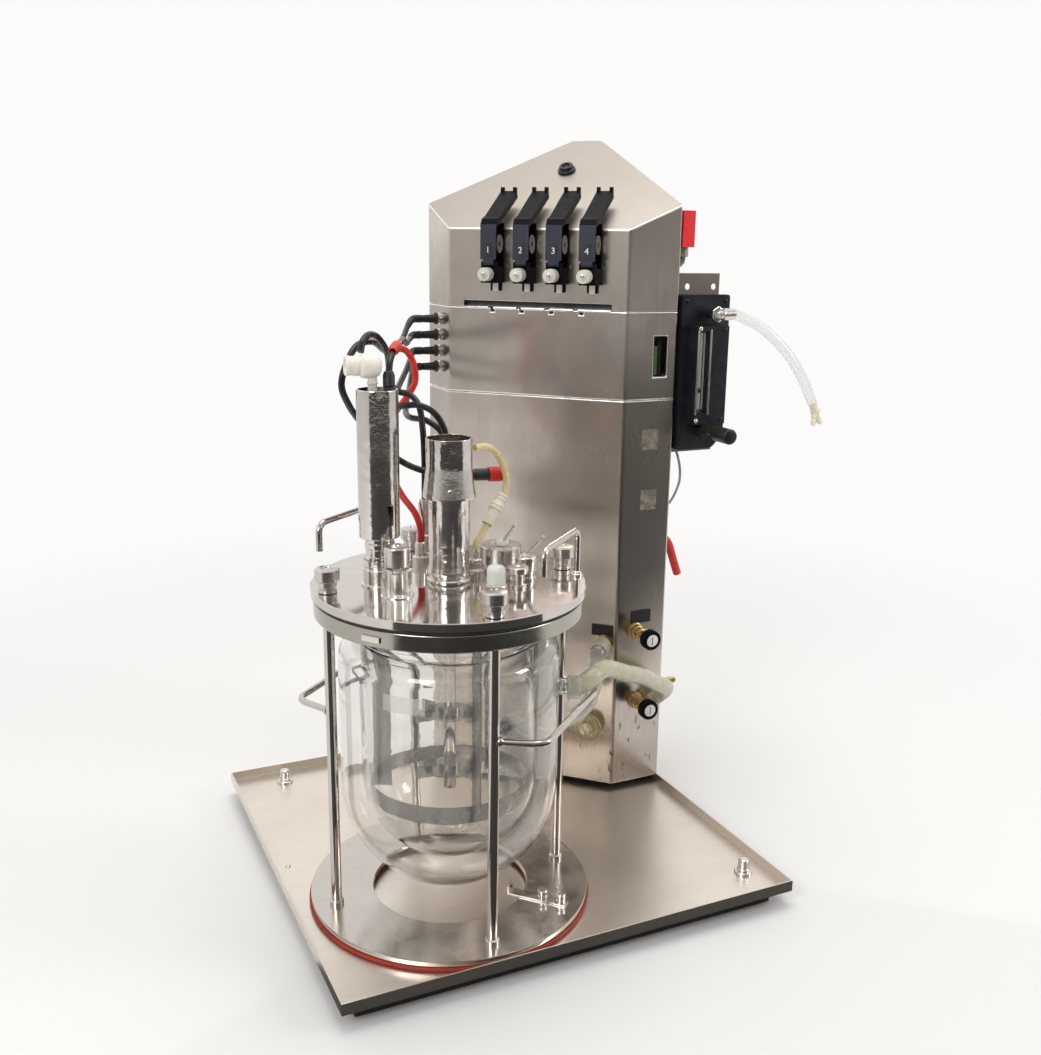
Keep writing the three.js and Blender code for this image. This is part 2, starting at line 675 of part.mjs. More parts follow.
/** The flared sleeve over the hub's spigot, open at the top and slit down one side. */
function makeSleeve() {
  const bottom = PLATE_TOP + HUB.shoulder + SEAT;
  const top = bottom + SLEEVE.height;
  const waist = bottom + SLEEVE.waistHeight;
  const seat = HUB.spigot + SEAT;
  const bore = SLEEVE.waist - SLEEVE.wall;
  const shell = turned([
    [seat, bottom],
    [SLEEVE.skirt, bottom],
    [SLEEVE.skirt, bottom + 2],
    [SLEEVE.waist, waist],
    [SLEEVE.waist, top],
    [bore, top],
    [bore, waist],
    [seat, waist - 4],
  ]);
  const half = SLEEVE.slit / 2;
  return cut(shell, block([0, -half, waist - 8], [SLEEVE.skirt + 2, half, top + 1]));
}

/** The exhaust condenser: a wide open tube on a narrow neck, with two windows near its floor. */
function makeCondenser() {
  const base = PLATE_TOP + CONDENSER_PORT.height + SEAT;
  const neckTop = PLATE_TOP + CONDENSER.neckTop;
  const floor = PLATE_TOP + CONDENSER.floor;
  const top = PLATE_TOP + CONDENSER.height;
  const bore = CONDENSER.radius - CONDENSER.wall;
  const tube = turned([
    [0, base],
    [CONDENSER.neck + 1.2, base],
    [CONDENSER.neck + 1.2, base + 2],
    [CONDENSER.neck, base + 2.6],
    [CONDENSER.neck, neckTop],
    [CONDENSER.radius, neckTop],
    [CONDENSER.radius, top],
    [bore, top],
    [bore, floor],
    [0, floor],
  ]);
  const windows = [-75, -15].map((degrees) => solid(
    boxGeometry([bore - 3, -3, floor + 6], [CONDENSER.radius + 1, 3, floor + 24])
      .rotateZ(radians(degrees))));
  return geometryOf(cut(tube, ...windows)).translate(CONDENSER_PORT.x, CONDENSER_PORT.y, 0);
}

function makeAdditionGlass() {
  const base = PLATE_TOP + SEAT;
  const top = PLATE_TOP + ADDITION.height;
  const bore = ADDITION.pilot + SEAT;
  return turnedGeometry([
    [bore, base],
    [ADDITION.radius - 2, base],
    [ADDITION.radius, base + 6],
    [ADDITION.radius, top],
    [bore, top],
  ], 20).translate(ADDITION.x, ADDITION.y, 0);
}

function makeAdditionCap() {
  const base = PLATE_TOP + ADDITION.height + SEAT;
  const top = PLATE_TOP + ADDITION.capTop;
  return turnedGeometry([
    [0, base],
    [ADDITION.cap - 1.4, base],
    [ADDITION.cap, base + 2],
    [ADDITION.cap, top - 1],
    [ADDITION.cap - 1, top],
    [0, top],
  ], 20).translate(ADDITION.x, ADDITION.y, 0);
}

// ---- stirrer and baffles -------------------------------------------------------------------

function makeShaft() {
  const bottom = RING_TOP + SHAFT.bottom;
  const top = PLATE_TOP + SHAFT.above;
  return turnedGeometry([
    [0, bottom],
    [SHAFT.radius - 1.5, bottom],
    [SHAFT.radius, bottom + 1.5],
    [SHAFT.radius, top],
    [0, top],
  ], 16);
}

/** A Rushton turbine: a hub and a disc with six flat blades set into its rim. */
function makeImpeller(height) {
  const z = RING_TOP + height;
  const hub = bar(IMPELLER.hub, z - IMPELLER.hubHeight / 2, z + IMPELLER.hubHeight / 2, 12);
  const half = BLADE.height / 2;
  const sheet = IMPELLER.sheet / 2;
  const disc = bar(IMPELLER.disc, z - sheet, z + sheet, 18);
  const blades = Array.from({ length: BLADE.count }, (_, i) => solid(
    boxGeometry([IMPELLER.tip - BLADE.length, -sheet, z - half], [IMPELLER.tip, sheet, z + half])
      .rotateZ(radians((360 * i) / BLADE.count))));
  const bore = bar(SHAFT.radius + SEAT, z - IMPELLER.hubHeight, z + IMPELLER.hubHeight, 12);
  return cut(join(hub, disc, ...blades), bore);
}

/** The baffle cage: flat strips hung from the head plate, tied by a band near the bottom. */
function makeBaffles() {
  const bottom = RING_TOP + BAFFLES.bottom;
  const top = PLATE_BOTTOM - SEAT;
  const radius = GLASS.inner - GLASS.wall - BAFFLES.gap;
  const inner = radius - BAFFLES.band;
  const band = turned([
    [inner, bottom],
    [radius, bottom],
    [radius, bottom + BAFFLES.bandHeight],
    [inner, bottom + BAFFLES.bandHeight],
  ], 26);
  const half = BAFFLES.sheet / 2;
  const edge = radius - 0.8;
  const strips = BAFFLE_ANGLES.map((angle) => solid(
    boxGeometry([edge - BAFFLES.width, -half, bottom], [edge, half, top]).rotateZ(radians(angle))));
  return join(band, ...strips);
}

// ---- tower ---------------------------------------------------------------------------------

// The slanted front face has a frame of its own: X along the face, Y into the tower.
const FACE_TURN = -Math.PI / 4;
const facePlace = new THREE.Matrix4()
  .makeRotationZ(FACE_TURN)
  .setPosition(TOWER.front / 2, TOWER.front / 2, 0);

const onFace = (geometry) => solid(geometry.applyMatrix4(facePlace));

/** The tower's six-cornered plan, drawn in by an inset. */
function towerPlan(inset = 0) {
  const left = TOWER.left + inset;
  const right = TOWER.right - inset;
  const near = TOWER.near + inset;
  const far = TOWER.far - inset;
  const front = TOWER.front + inset * Math.SQRT2;
  const corners = [
    [left, front - left],
    [front - near, near],
    [right, near],
    [right, far - TOWER.backCut],
    [right - TOWER.backCut, far],
    [left, far],
  ].map(([x, y]) => new THREE.Vector2(x, y));
  return roundedShape(corners, TOWER.bend);
}

const towerPrism = (z0, z1, inset) => solid(prism(towerPlan(inset), z0, z1, 2));

function makePlinth() {
  return towerPrism(FLOOR + SEAT, TOWER_HEIGHT.foot - SEAT, PLINTH_INSET);
}

/** A valve's brass body and stem, standing out of the right-hand face. */
function makeValveBody({ x, height, front }) {
  const knobBack = front + VALVE.knobLength;
  const bodyFront = TOWER.near - VALVE.bodyReach;
  const start = new THREE.Vector3(x, TOWER.near + 1, height);
  const outward = new THREE.Vector3(0, -1, 0);
  const body = turnedAlong([
    [0, 0],
    [VALVE.body, 0],
    [VALVE.body, 1 + VALVE.bodyReach],
    [VALVE.stem + 1.5, 1 + VALVE.bodyReach],
    [VALVE.stem + 1.5, TOWER.near - knobBack],
    [VALVE.stem, TOWER.near - knobBack],
    [VALVE.stem, TOWER.near - front - 4],
    [0, TOWER.near - front - 4],
  ], start, outward, 12);
  const sidePort = new THREE.Vector3(x, bodyFront + 5, height);
  return join(body, barAlong(VALVE.side, 10, sidePort, polar(1, 0), 8));
}

/** A round stub standing square out of the slanted face. */
function faceStub({ along, height }, radius, reach) {
  const profile = [[0, -1], [radius, -1], [radius, reach], [0, reach]];
  return onFace(turnedGeometry(profile, 12).rotateX(Math.PI / 2).translate(along, 0, height));
}

function makeLowerCase() {
  const shell = towerPrism(TOWER_HEIGHT.foot, TOWER_HEIGHT.lowerSeam, 0);
  const outwardX = new THREE.Vector3(1, 0, 0);
  const barb = turnedAlong([
    [0, 0],
    [6.5, 0],
    [6.5, 8],
    [3.2, 9],
    [4.2, 18],
    [3, 19],
    [4.2, 28],
    [2.6, SIDE_BARB.reach + 1],
    [0, SIDE_BARB.reach + 1],
  ], new THREE.Vector3(TOWER.right - 1, SIDE_BARB.y, SIDE_BARB.height), outwardX, 12);
  const lip = TRAY.side / 2 - TRAY.sheet - LIP_RELIEF;
  const lipTop = LIP_TOP + SEAT;
  const reliefs = [
    block([lip, -400, TOWER_HEIGHT.foot - 1], [400, 400, lipTop]),
    block([-400, lip, TOWER_HEIGHT.foot - 1], [400, 400, lipTop]),
  ];
  const frontNozzle = faceStub(FRONT_NOZZLE, FRONT_NOZZLE.radius, FRONT_NOZZLE.reach);
  const coilStub = faceStub(COIL, COIL.stub, COIL.front + 3);
  const relieved = cut(shell, ...reliefs);
  return join(relieved, barb, frontNozzle, coilStub, ...VALVES.map(makeValveBody));
}

/** One cable gland: a metal ferrule and a tapered boot, standing out of the left-hand face. */
function makeGland(index) {
  const z = GLAND.top - GLAND.pitch * index;
  return turnedAlong([
    [0, 0],
    [GLAND.ferrule, 0],
    [GLAND.ferrule, 10],
    [GLAND.boot + 1.2, 10],
    [GLAND.boot + 1.2, 14],
    [GLAND.boot - 1, GLAND.reach + 1],
    [0, GLAND.reach + 1],
  ], new THREE.Vector3(TOWER.left + 1, GLAND.y, z), new THREE.Vector3(-1, 0, 0), 8);
}

function makeMiddleCase() {
  const top = TOWER_HEIGHT.upperSeam;
  const shell = towerPrism(TOWER_HEIGHT.lowerSeam + SEAT, top, 0);
  const slot = block(
    [BOARD_SLOT.from, TOWER.near - 1, BOARD_SLOT.bottom],
    [BOARD_SLOT.to, TOWER.near + BOARD_SLOT.depth, BOARD_SLOT.top],
  );
  const step = (HATCH.to - HATCH.from) / (HATCH.notches + 1);
  const notches = Array.from({ length: HATCH.notches }, (_, i) => {
    const x = HATCH.from + step * (i + 1);
    return onFace(boxGeometry([x - HATCH.notch / 2, -1, top - 4.5], [x + HATCH.notch / 2, 3, top + 1]));
  });
  const glands = Array.from({ length: GLAND.count }, (_, i) => makeGland(i));
  return cut(join(shell, ...glands), slot, ...notches);
}

/** The top case, cut to the sloping roof, with the long hatch slot along its lower front edge. */
function makeTopCase() {
  const bottom = TOWER_HEIGHT.upperSeam + SEAT;
  const shell = towerPrism(bottom, TOWER_HEIGHT.roofFront + 200, 0);
  const roofAt = (depth) => TOWER_HEIGHT.roofFront + ROOF_SLOPE * depth;
  const above = onFace(sideGeometry([
    [-100, roofAt(-100)],
    [400, roofAt(400)],
    [400, roofAt(400) + 400],
    [-100, roofAt(400) + 400],
  ], -400, 400));
  const hatchTop = bottom + HATCH.height;
  const hatch = onFace(boxGeometry([HATCH.from, -1, bottom - 1], [HATCH.to, HATCH.depth, hatchTop]));
  return cut(shell, above, hatch);
}

/** The black grommet plug that stands square on the sloping roof. */
function addRoofPlug(face) {
  const plug = turnedGeometry([
    [0, 0],
    [ROOF_PLUG.radius, 0],
    [ROOF_PLUG.radius, 3],
    [ROOF_PLUG.radius - 2.5, ROOF_PLUG.height],
    [ROOF_PLUG.radius - 5, ROOF_PLUG.height],
    [ROOF_PLUG.radius - 5.5, ROOF_PLUG.height - 3],
    [0, ROOF_PLUG.height - 3],
  ], 20);
  const piece = addPiece(face, "roof_plug", plug, blackPlastic());
  const slope = Math.atan(ROOF_SLOPE);
  const roof = TOWER_HEIGHT.roofFront + ROOF_SLOPE * ROOF_PLUG.depth;
  piece.rotation.x = slope;
  piece.position.set(
    ROOF_PLUG.along,
    ROOF_PLUG.depth - SEAT * Math.sin(slope),
    roof + SEAT * Math.cos(slope),
  );
}

// ---- peristaltic pump heads ----------------------------------------------------------------
// Each is built about its own middle plane on the tower's front face: X across, -Y outwards.

/** The housing: a back plate, one cheek that carries the rotor, a chin with the knob, and a tab. */
function makePumpBody() {
  const half = PUMP.width / 2;
  const chinTop = PUMP.bottom + PUMP_DEPTH.chinHeight;
  const outline = [
    [-SEAT, PUMP.bottom],
    [-SEAT, PUMP.top],
    [-PUMP_DEPTH.back - 4, PUMP.top],
    [-PUMP_DEPTH.chin, PUMP.top - 8],
    [-PUMP_DEPTH.chin, HINGE.height + 5],
    [-PUMP_DEPTH.chin + 5, HINGE.height + 4.2],
    [-PUMP_DEPTH.chin + 5, chinTop],
    [-PUMP_DEPTH.chin, chinTop],
    [-PUMP_DEPTH.chin, PUMP.bottom],
  ];
  const cheekInside = -half + 3;
  const housing = sideProfile(outline, -half, half);
  const chamber = block(
    [cheekInside, -PUMP_DEPTH.chin - 1, chinTop + 1.5],
    [half + 1, -PUMP_DEPTH.back + 2.2, PUMP.top + 1],
  );
  const outward = new THREE.Vector3(0, -1, 0);
  const knob = turnedAlong([
    [0, 0],
    [PUMP_KNOB.radius - 2.5, 0],
    [PUMP_KNOB.radius, 4],
    [PUMP_KNOB.radius, PUMP_KNOB.length + 1],
    [0, PUMP_KNOB.length + 1],
  ], new THREE.Vector3(0, -PUMP_DEPTH.chin + 1, PUMP_KNOB.height), outward, 14);
  const axle = barAlong(
    AXLE_RADIUS,
    PUMP.width - 3.5,
    new THREE.Vector3(cheekInside - 1, -ROTOR.out, ROTOR.height),
    polar(1, 0),
  );
  const tab = block([-3.2, -3, PUMP.bottom - 9], [3.2, -SEAT, PUMP.bottom + 1]);
  return join(cut(housing, chamber), makeHingePin(), knob, axle, tab);
}

/** The pin under the cover, held by the cheek and by a lug that rises from the chin. */
function makeHingePin() {
  const half = PUMP.width / 2;
  const lugBase = PUMP.bottom + PUMP_DEPTH.chinHeight - 1;
  const pinStart = new THREE.Vector3(-half + 0.5, -HINGE.out, HINGE.height);
  const pin = barAlong(HINGE.pin, PUMP.width - 1, pinStart, polar(1, 0));
  const lug = sideProfile([
    [-HINGE.out - 2, lugBase],
    [-HINGE.out + 4, lugBase],
    [-HINGE.out + 2, HINGE.height + 2],
    [-HINGE.out - 2, HINGE.height + 2],
  ], half - 2.4, half);
  const cheekLug = sideProfile([
    [-HINGE.out - 2, lugBase],
    [-HINGE.out + 6, lugBase],
    [-HINGE.out + 6, HINGE.height + 2],
    [-HINGE.out - 2, HINGE.height + 2],
  ], -half, -half + 2.4);
  return join(pin, lug, cheekLug);
}

/** The rotor: two discs with three squeeze rollers between them, bored to run on the axle. */
function makeRotor() {
  const half = PUMP.width / 2;
  const left = -half + 3 + SEAT + 0.4;
  const right = half - 0.4;
  const centre = new THREE.Vector3(0, -ROTOR.out, ROTOR.height);
  const across = polar(1, 0);
  const discs = [left, right - ROTOR.disc].map((x) =>
    barAlong(ROTOR.radius, ROTOR.disc, centre.clone().setX(x), across, 16));
  const hub = barAlong(AXLE_RADIUS + 1.6, right - left, centre.clone().setX(left), across, 12);
  const rollers = Array.from({ length: ROLLER_COUNT }, (_, i) => {
    const a = radians(90 + (360 * i) / ROLLER_COUNT);
    const start = centre.clone().add(
      new THREE.Vector3(left, ROTOR.rollerCircle * Math.cos(a), ROTOR.rollerCircle * Math.sin(a)));
    return barAlong(ROTOR.roller, right - left, start, across, 8);
  });
  const boreRadius = (AXLE_RADIUS + BEARING_CLEARANCE) / Math.cos(Math.PI / 12);
  const bore = barAlong(boreRadius, PUMP.width + 4, centre.clone().setX(-half - 2), across);
  return cut(join(...discs, hub, ...rollers), bore);
}

/** The cover: a strap over the rotor that runs on as the lever, folded back over the roof. */
function makePumpCover() {
  const half = PUMP.width / 2;
  const outer = PUMP_DEPTH.cover;
  const inner = PUMP_DEPTH.chin + 0.4;
  const drop = LEVER.thickness;
  const tip = LEVER.tipIn;
  const outline = [
    [-inner, HINGE.height],
    [-outer, HINGE.height],
    [-outer, LEVER_ELBOW - 9],
    [-outer + 4, LEVER_ELBOW - 3],
    [-LEVER.elbowOut, LEVER_ELBOW],
    [tip, LEVER.tipHeight],
    [tip + 2.5, LEVER.tipHeight - drop],
    [-LEVER.elbowOut + 3, LEVER_ELBOW - drop + 2.2],
    [-inner, LEVER_ELBOW - 11],
  ];
  const strap = sideProfile(outline, -half, half);
  const hollow = sideProfile([
    [-LEVER.elbowOut + 4, LEVER_ELBOW - drop - 1],
    [-LEVER.elbowOut + 4, LEVER_ELBOW + 0.8],
    [tip - 3, LEVER.tipHeight - LEVER.wall - 2.6],
    [tip - 3, LEVER.tipHeight - drop - 4],
  ], -half + LEVER.wall, half - LEVER.wall);
  const notch = block(
    [-half + 3, tip - 1.5, LEVER.tipHeight - 2.6],
    [half - 3, tip + 4, LEVER.tipHeight + 1],
  );
  const barrelHalf = half - 2.4 - SEAT;
  const barrel = barAlong(
    HINGE.barrel,
    2 * barrelHalf,
    new THREE.Vector3(-barrelHalf, -HINGE.out, HINGE.height),
    polar(1, 0),
    16,
  );
  const relief = [-1, 1].map((side) => block(
    [Math.min(side * barrelHalf, side * (half + 1)), -outer - 1, HINGE.height - 1],
    [Math.max(side * barrelHalf, side * (half + 1)), -inner + 10, HINGE.height + 4],
  ));
  const boreRadius = (HINGE.pin + HINGE.clearance) / Math.cos(Math.PI / 12);
  const boreStart = new THREE.Vector3(-half - 2, -HINGE.out, HINGE.height);
  const bore = barAlong(boreRadius, PUMP.width + 4, boreStart, polar(1, 0));
  return cut(join(strap, barrel), hollow, notch, ...relief, bore);
}

function addPump(face, index) {
  const pump = new THREE.Group();
  pump.position.x = PUMP.first + PUMP.pitch * index;
  face.add(pump);
  const number = index + 1;
  addPiece(pump, `pump_${number}_body`, makePumpBody(), blackPlastic());
  addPiece(pump, `pump_${number}_rotor`, makeRotor(), polished());
  addPiece(pump, `pump_${number}_cover`, makePumpCover(), navyPlastic());
}

// ---- side fittings -------------------------------------------------------------------------

/** The folded stainless bracket that carries the flow meter beside the tower. */
function makeBracket() {
  const back = BRACKET.flangeY + BRACKET.sheet;
  const x0 = TOWER.right + SEAT;
  const flange = block([x0, BRACKET.flangeY, BRACKET.bottom], [BRACKET.reach, back, BRACKET.top]);
  const leg = block([x0, back - 1, BRACKET.bottom], [x0 + BRACKET.sheet, back + BRACKET.leg, BRACKET.top]);
  const outward = new THREE.Vector3(0, -1, 0);
  const holes = [BRACKET.reach - 7, BRACKET.reach - 40].map((x) =>
    barAlong(3.4, 6, new THREE.Vector3(x, back + 1, BRACKET.top - 14), outward));
  return cut(join(flange, leg), ...holes);
}

/** The black back plate and the flow meter's body, with its window, outlet elbow and valve boss. */
function makeMeter() {
  const plateBack = BRACKET.flangeY - SEAT;
  const { left, right, bottom, top, front, corner } = METER_PLATE;
  const outline = [
    [left, bottom],
    [right - corner, bottom],
    [right, bottom + corner],
    [right, top],
    [left, top],
  ].map(([x, z]) => new THREE.Vector2(x, z));
  const standUp = new THREE.Matrix4().makeRotationX(Math.PI / 2);
  const plate = solid(prism(roundedShape(outline, 3), -plateBack, -front, 2).applyMatrix4(standUp));
  const body = block([METER.left, METER.front, METER.bottom], [METER.right, front + 1, METER.top]);
  const window = block(
    [METER_WINDOW.left, METER.front - 1, METER_WINDOW.bottom],
    [METER_WINDOW.right, METER.front + METER_WINDOW.depth, METER_WINDOW.top],
  );
  const outlet = bentRod([
    new THREE.Vector3(METER_OUTLET.x, front + 1, METER_OUTLET.height),
    new THREE.Vector3(METER_OUTLET.x, METER_OUTLET.out, METER_OUTLET.height),
    new THREE.Vector3(METER_OUTLET.reach, METER_OUTLET.out, METER_OUTLET.height),
  ], METER_OUTLET.radius, 6, 10);
  const stem = turnedAlong([
    [0, 0],
    [NEEDLE.boss, 0],
    [NEEDLE.boss, front + 1 - NEEDLE.bossFront],
    [NEEDLE.stem, front + 1 - NEEDLE.bossFront],
    [NEEDLE.stem, front + 1 - NEEDLE.stemFront],
    [0, front + 1 - NEEDLE.stemFront],
  ], new THREE.Vector3(NEEDLE.x, front + 1, NEEDLE.height), new THREE.Vector3(0, -1, 0), 12);
  return join(cut(join(plate, body), window), outlet, stem);
}

function makeFlowTube() {
  const y = METER.front + FLOW_TUBE.radius + 1.5;
  const bottom = METER_WINDOW.bottom + SEAT;
  const top = METER_WINDOW.top - SEAT;
  return turnedGeometry([
    [1.6, bottom],
    [FLOW_TUBE.radius, bottom],
    [FLOW_TUBE.radius, top],
    [1.6, top],
  ], 12).translate(FLOW_TUBE.x, y, 0);
}

/** A knob turned about -Y, bored from the back to fit over a stem. */
function makeKnob(profileOut, boreRadius, boreDepth, x, back, height, segments) {
  const start = new THREE.Vector3(x, back, height);
  const outward = new THREE.Vector3(0, -1, 0);
  const body = turnedAlong(profileOut, start, outward, segments);
  const bore = barAlong(boreRadius, boreDepth + 1, start.clone().setY(back + 1), outward);
  return cut(body, bore);
}

const stemBore = (stem) => (stem + BEARING_CLEARANCE) / Math.cos(Math.PI / 12);

/** The flow meter's long ribbed knob. */
function makeFlowKnob() {
  const length = FLOW_KNOB.back - FLOW_KNOB.front;
  const depth = FLOW_KNOB.back - NEEDLE.stemFront + 1;
  const r = FLOW_KNOB.radius;
  const plain = makeKnob([
    [0, 0],
    [r - 2.5, 0],
    [r - 2.5, 3],
    [r - 0.5, 4],
    [r, length - 1.5],
    [r - 1.5, length],
    [0, length],
  ], stemBore(NEEDLE.stem), depth, NEEDLE.x, FLOW_KNOB.back, NEEDLE.height, 20);
  const grooves = Array.from({ length: FLOW_KNOB.ribs }, (_, i) => {
    const at = polar(r + 0.4, (360 * i) / FLOW_KNOB.ribs);
    const start = new THREE.Vector3(NEEDLE.x + at.x, FLOW_KNOB.back - 5, NEEDLE.height + at.y);
    return barAlong(1, length, start, new THREE.Vector3(0, -1, 0), 4);
  });
  return cut(plain, ...grooves);
}

function makeValveKnob({ x, height, front }) {
  const back = front + VALVE.knobLength - SEAT;
  const length = back - front;
  const r = VALVE.knob;
  return makeKnob([
    [0, 0],
    [r - 4, 0],
    [r, 4],
    [r, length - 1.5],
    [r - 1.5, length],
    [VALVE.face, length],
    [VALVE.face, length - 0.8],
    [0, length - 0.8],
  ], stemBore(VALVE.stem), back - front - 3, x, back, height, 16);
}

/** The red-capped relief valve on its chrome elbow. */
function makeRelief() {
  const { x, y, bottom, collar, blockBottom, top, pipe } = RELIEF;
  const { halfWidth, halfDepth } = RELIEF_HEAD;
  const elbow = bentRod([
    new THREE.Vector3(TOWER.right + SEAT, y, bottom),
    new THREE.Vector3(x, y, bottom),
    new THREE.Vector3(x, y, blockBottom + 1),
  ], pipe, pipe + 0.5, 10);
  const nut = bar(RELIEF_HEAD.nut, collar, blockBottom + 0.5, 6, x, y);
  const head = block(
    [x - halfWidth, y - halfDepth, blockBottom],
    [x + halfWidth, y + halfDepth, top],
  );
  return join(elbow, nut, head);
}

// ---- hoses and cables ----------------------------------------------------------------------

const HOSES = [
  {
    name: "water_hose_upper",
    radius: 8.6,
    sides: 10,
    color: 0xd8d2b4,
    route: [
      [23.2, -129.6, 225], [32, -133.5, 226], [48, -132, 232.5], [66, -121, 233], [86, -107, 224],
      [107, -91, 212], [130, -73, 200], [153, -55, 187], [176, -36, 171], [197, -19, 158],
      [213, -3, 147], [218, 10, 136], [215, 19, 127], [210.5, 20.5, 122.5], [204.6, 20.5, 122],
    ],
  },
  {
    name: "water_hose_lower",
    radius: 8.6,
    sides: 10,
    color: 0xd6dac9,
    route: [
      [151.3, 32.8, 194], [144, 25.5, 194], [137, 18.5, 187], [133, 15, 172], [130.5, 14.5, 154],
      [123, 14, 136], [106, 9, 127], [80, 0, 128], [54, -6, 138], [34, -9, 150], [22.5, -15.9, 155],
      [12.5, -22.9, 155],
    ],
  },
  {
    name: "red_hose",
    radius: 4.7,
    sides: 8,
    color: 0xb01810,
    route: [[228.6, 50, 303], [235, 50, 303], [242, 51, 296], [250, 54, 279], [259, 56, 258]],
  },
  {
    name: "gas_hose",
    radius: 5.5,
    sides: 10,
    color: 0xd9dcd8,
    route: [
      [275.5, 8, 553], [284, 7.8, 552.8], [296, 5, 548], [311, -1, 540], [328, -5, 527],
      [347, -9, 508], [365, -11, 483], [379, -12, 458],
    ],
  },
  {
    name: "feed_hose",
    radius: 3.15,
    sides: 8,
    color: 0xdcc98c,
    route: [
      [-51.5, -84, 446], [-41, -80, 446], [-28, -73, 440], [-18, -67, 428], [-12.5, -66, 412],
      [-15, -68, 400], [-24, -71.5, 388.5], [-36, -76.1, 373.3], [-45, -79.8, 362],
      [-48.7, -81.1, 358], [-48.9, -81.2, 352.7],
    ],
  },
  {
    name: "cable_1",
    radius: 3,
    sides: 8,
    color: 0x1b1c20,
    route: [
      [1.5, 199, 540], [-7, 198.6, 539.8], [-20, 180, 534], [-32, 158, 526], [-50, 125, 518],
      [-73, 82, 516], [-97, 30, 523], [-123, -15, 535], [-145, -40, 533], [-158, -52, 518],
      [-162, -52, 502], [-152, -40, 482], [-136, -24, 463], [-118, -20, 441], [-97, -25, 425],
      [-86, -36, 420], [-65, -50, 415], [-41, -57, 416],
    ],
  },
  {
    name: "cable_2",
    radius: 3,
    sides: 8,
    color: 0x1b1c20,
    route: [
      [1.5, 199, 522.5], [-7, 198.6, 522.3], [-20, 174, 520.5], [-33, 145, 519.5], [-49, 104, 522],
      [-67, 58, 528], [-84, 12, 534], [-100, -25, 534], [-114, -50, 530], [-123, -66, 522],
      [-126.5, -73, 511],
    ],
  },
  {
    name: "cable_3",
    radius: 3,
    sides: 8,
    color: 0x1b1c20,
    route: [
      [1.5, 199, 505], [-7, 198.6, 504.8], [-20, 172, 500], [-43, 125, 490], [-66, 80, 481],
      [-84, 40, 475], [-93, 12, 473], [-91, -8, 475], [-82, -20, 477], [-71, -29, 472],
      [-62, -35, 457], [-59, -36, 430], [-59, -36, 388.2],
    ],
  },
  {
    name: "cable_4",
    radius: 3,
    sides: 8,
    color: 0x1b1c20,
    route: [
      [1.5, 199, 487.5], [-7, 198.6, 487.3], [-20, 170, 482], [-38, 128, 471], [-56, 85, 464],
      [-70, 45, 459], [-73, 20, 459], [-66, -4, 459], [-57, -15, 450], [-52.6, -19.5, 430],
      [-52, -20, 388.2],
    ],
  },
  {
    name: "cable_5",
    radius: 3,
    sides: 8,
    color: 0x1b1c20,
    route: [
      [-150, -70, 531.4], [-147, -66, 539], [-138, -54, 544], [-125, -38, 541], [-111, -22, 526],
      [-103, -4, 508], [-96, 10, 492], [-87, 16, 485], [-79, 10, 483], [-74.5, -3, 474],
      [-74.3, -13, 452], [-74.5, -17.2, 425], [-74.5, -17.2, 388.2],
    ],
  },
  {
    name: "red_lead",
    radius: 3.2,
    sides: 8,
    color: 0x9c1a1a,
    route: [
      [-84, 22, 525], [-74, 30, 521], [-66, 33, 508], [-65, 33, 492], [-73, 33, 478],
      [-88, 28, 462], [-100, 14, 440], [-102, 2, 414], [-95, -10, 392], [-86, -22, 376],
      [-82.5, -27, 362], [-82.5, -27.2, 350.2],
    ],
  },
];

function addHoses() {
  HOSES.forEach(({ name, radius, sides, color, route }) => {
    addPiece(bioreactor, name, hoseGeometry(route, radius, sides), rubber(color));
  });
}

/** The ribbed coupling on the feed hose, round a straight stretch of it. */
function makeHoseConnector() {
  const start = new THREE.Vector3(...COUPLING.from);
  const end = new THREE.Vector3(...COUPLING.to);
  const length = start.distanceTo(end);
  const bore = HOSES.find((hose) => hose.name === "feed_hose").radius + 1;
  const barrel = COUPLING.sleeve + 0.6;
  return aim(turnedGeometry([
    [bore, 0],
    [COUPLING.sleeve, 0],
    [barrel, length * 0.3],
    [COUPLING.rim, length * 0.36],
    [COUPLING.rim, length * 0.5],
    [barrel, length * 0.56],
    [COUPLING.sleeve, length],
    [bore, length],
  ], 12), start, end.clone().sub(start));
}

/** The two-way end fitting that hangs on the gas hose. */
function makeGasFitting() {
  const { at, collar, tail, length } = GAS_FITTING;
  const start = new THREE.Vector3(...at);
  const down = new THREE.Vector3(...GAS_FITTING.down);
  const straight = turnedAlong([
    [0, 0],
    [collar - 1, 0],
    [collar, 8],
    [collar, 12],
    [tail, 13],
    [tail, length],
    [0, length],
  ], start, down, 10);
  const branchStart = start.clone().addScaledVector(down, 0.3);
  const towards = new THREE.Vector3(...GAS_BRANCH.direction);
  const branch = barAlong(GAS_BRANCH.radius, GAS_BRANCH.length, branchStart, towards, 8);
  return join(straight, branch);
}

/** The loop of drain tubing hung on its stub, as one ring. */
function makeDrainCoil() {
  return turnedGeometry([
    [COIL.inner, COIL.back],
    [COIL.outer, COIL.back],
    [COIL.outer, COIL.front],
    [COIL.inner, COIL.front],
  ], 20).rotateX(Math.PI / 2).translate(COIL.along, 0, COIL.height).applyMatrix4(facePlace);
}

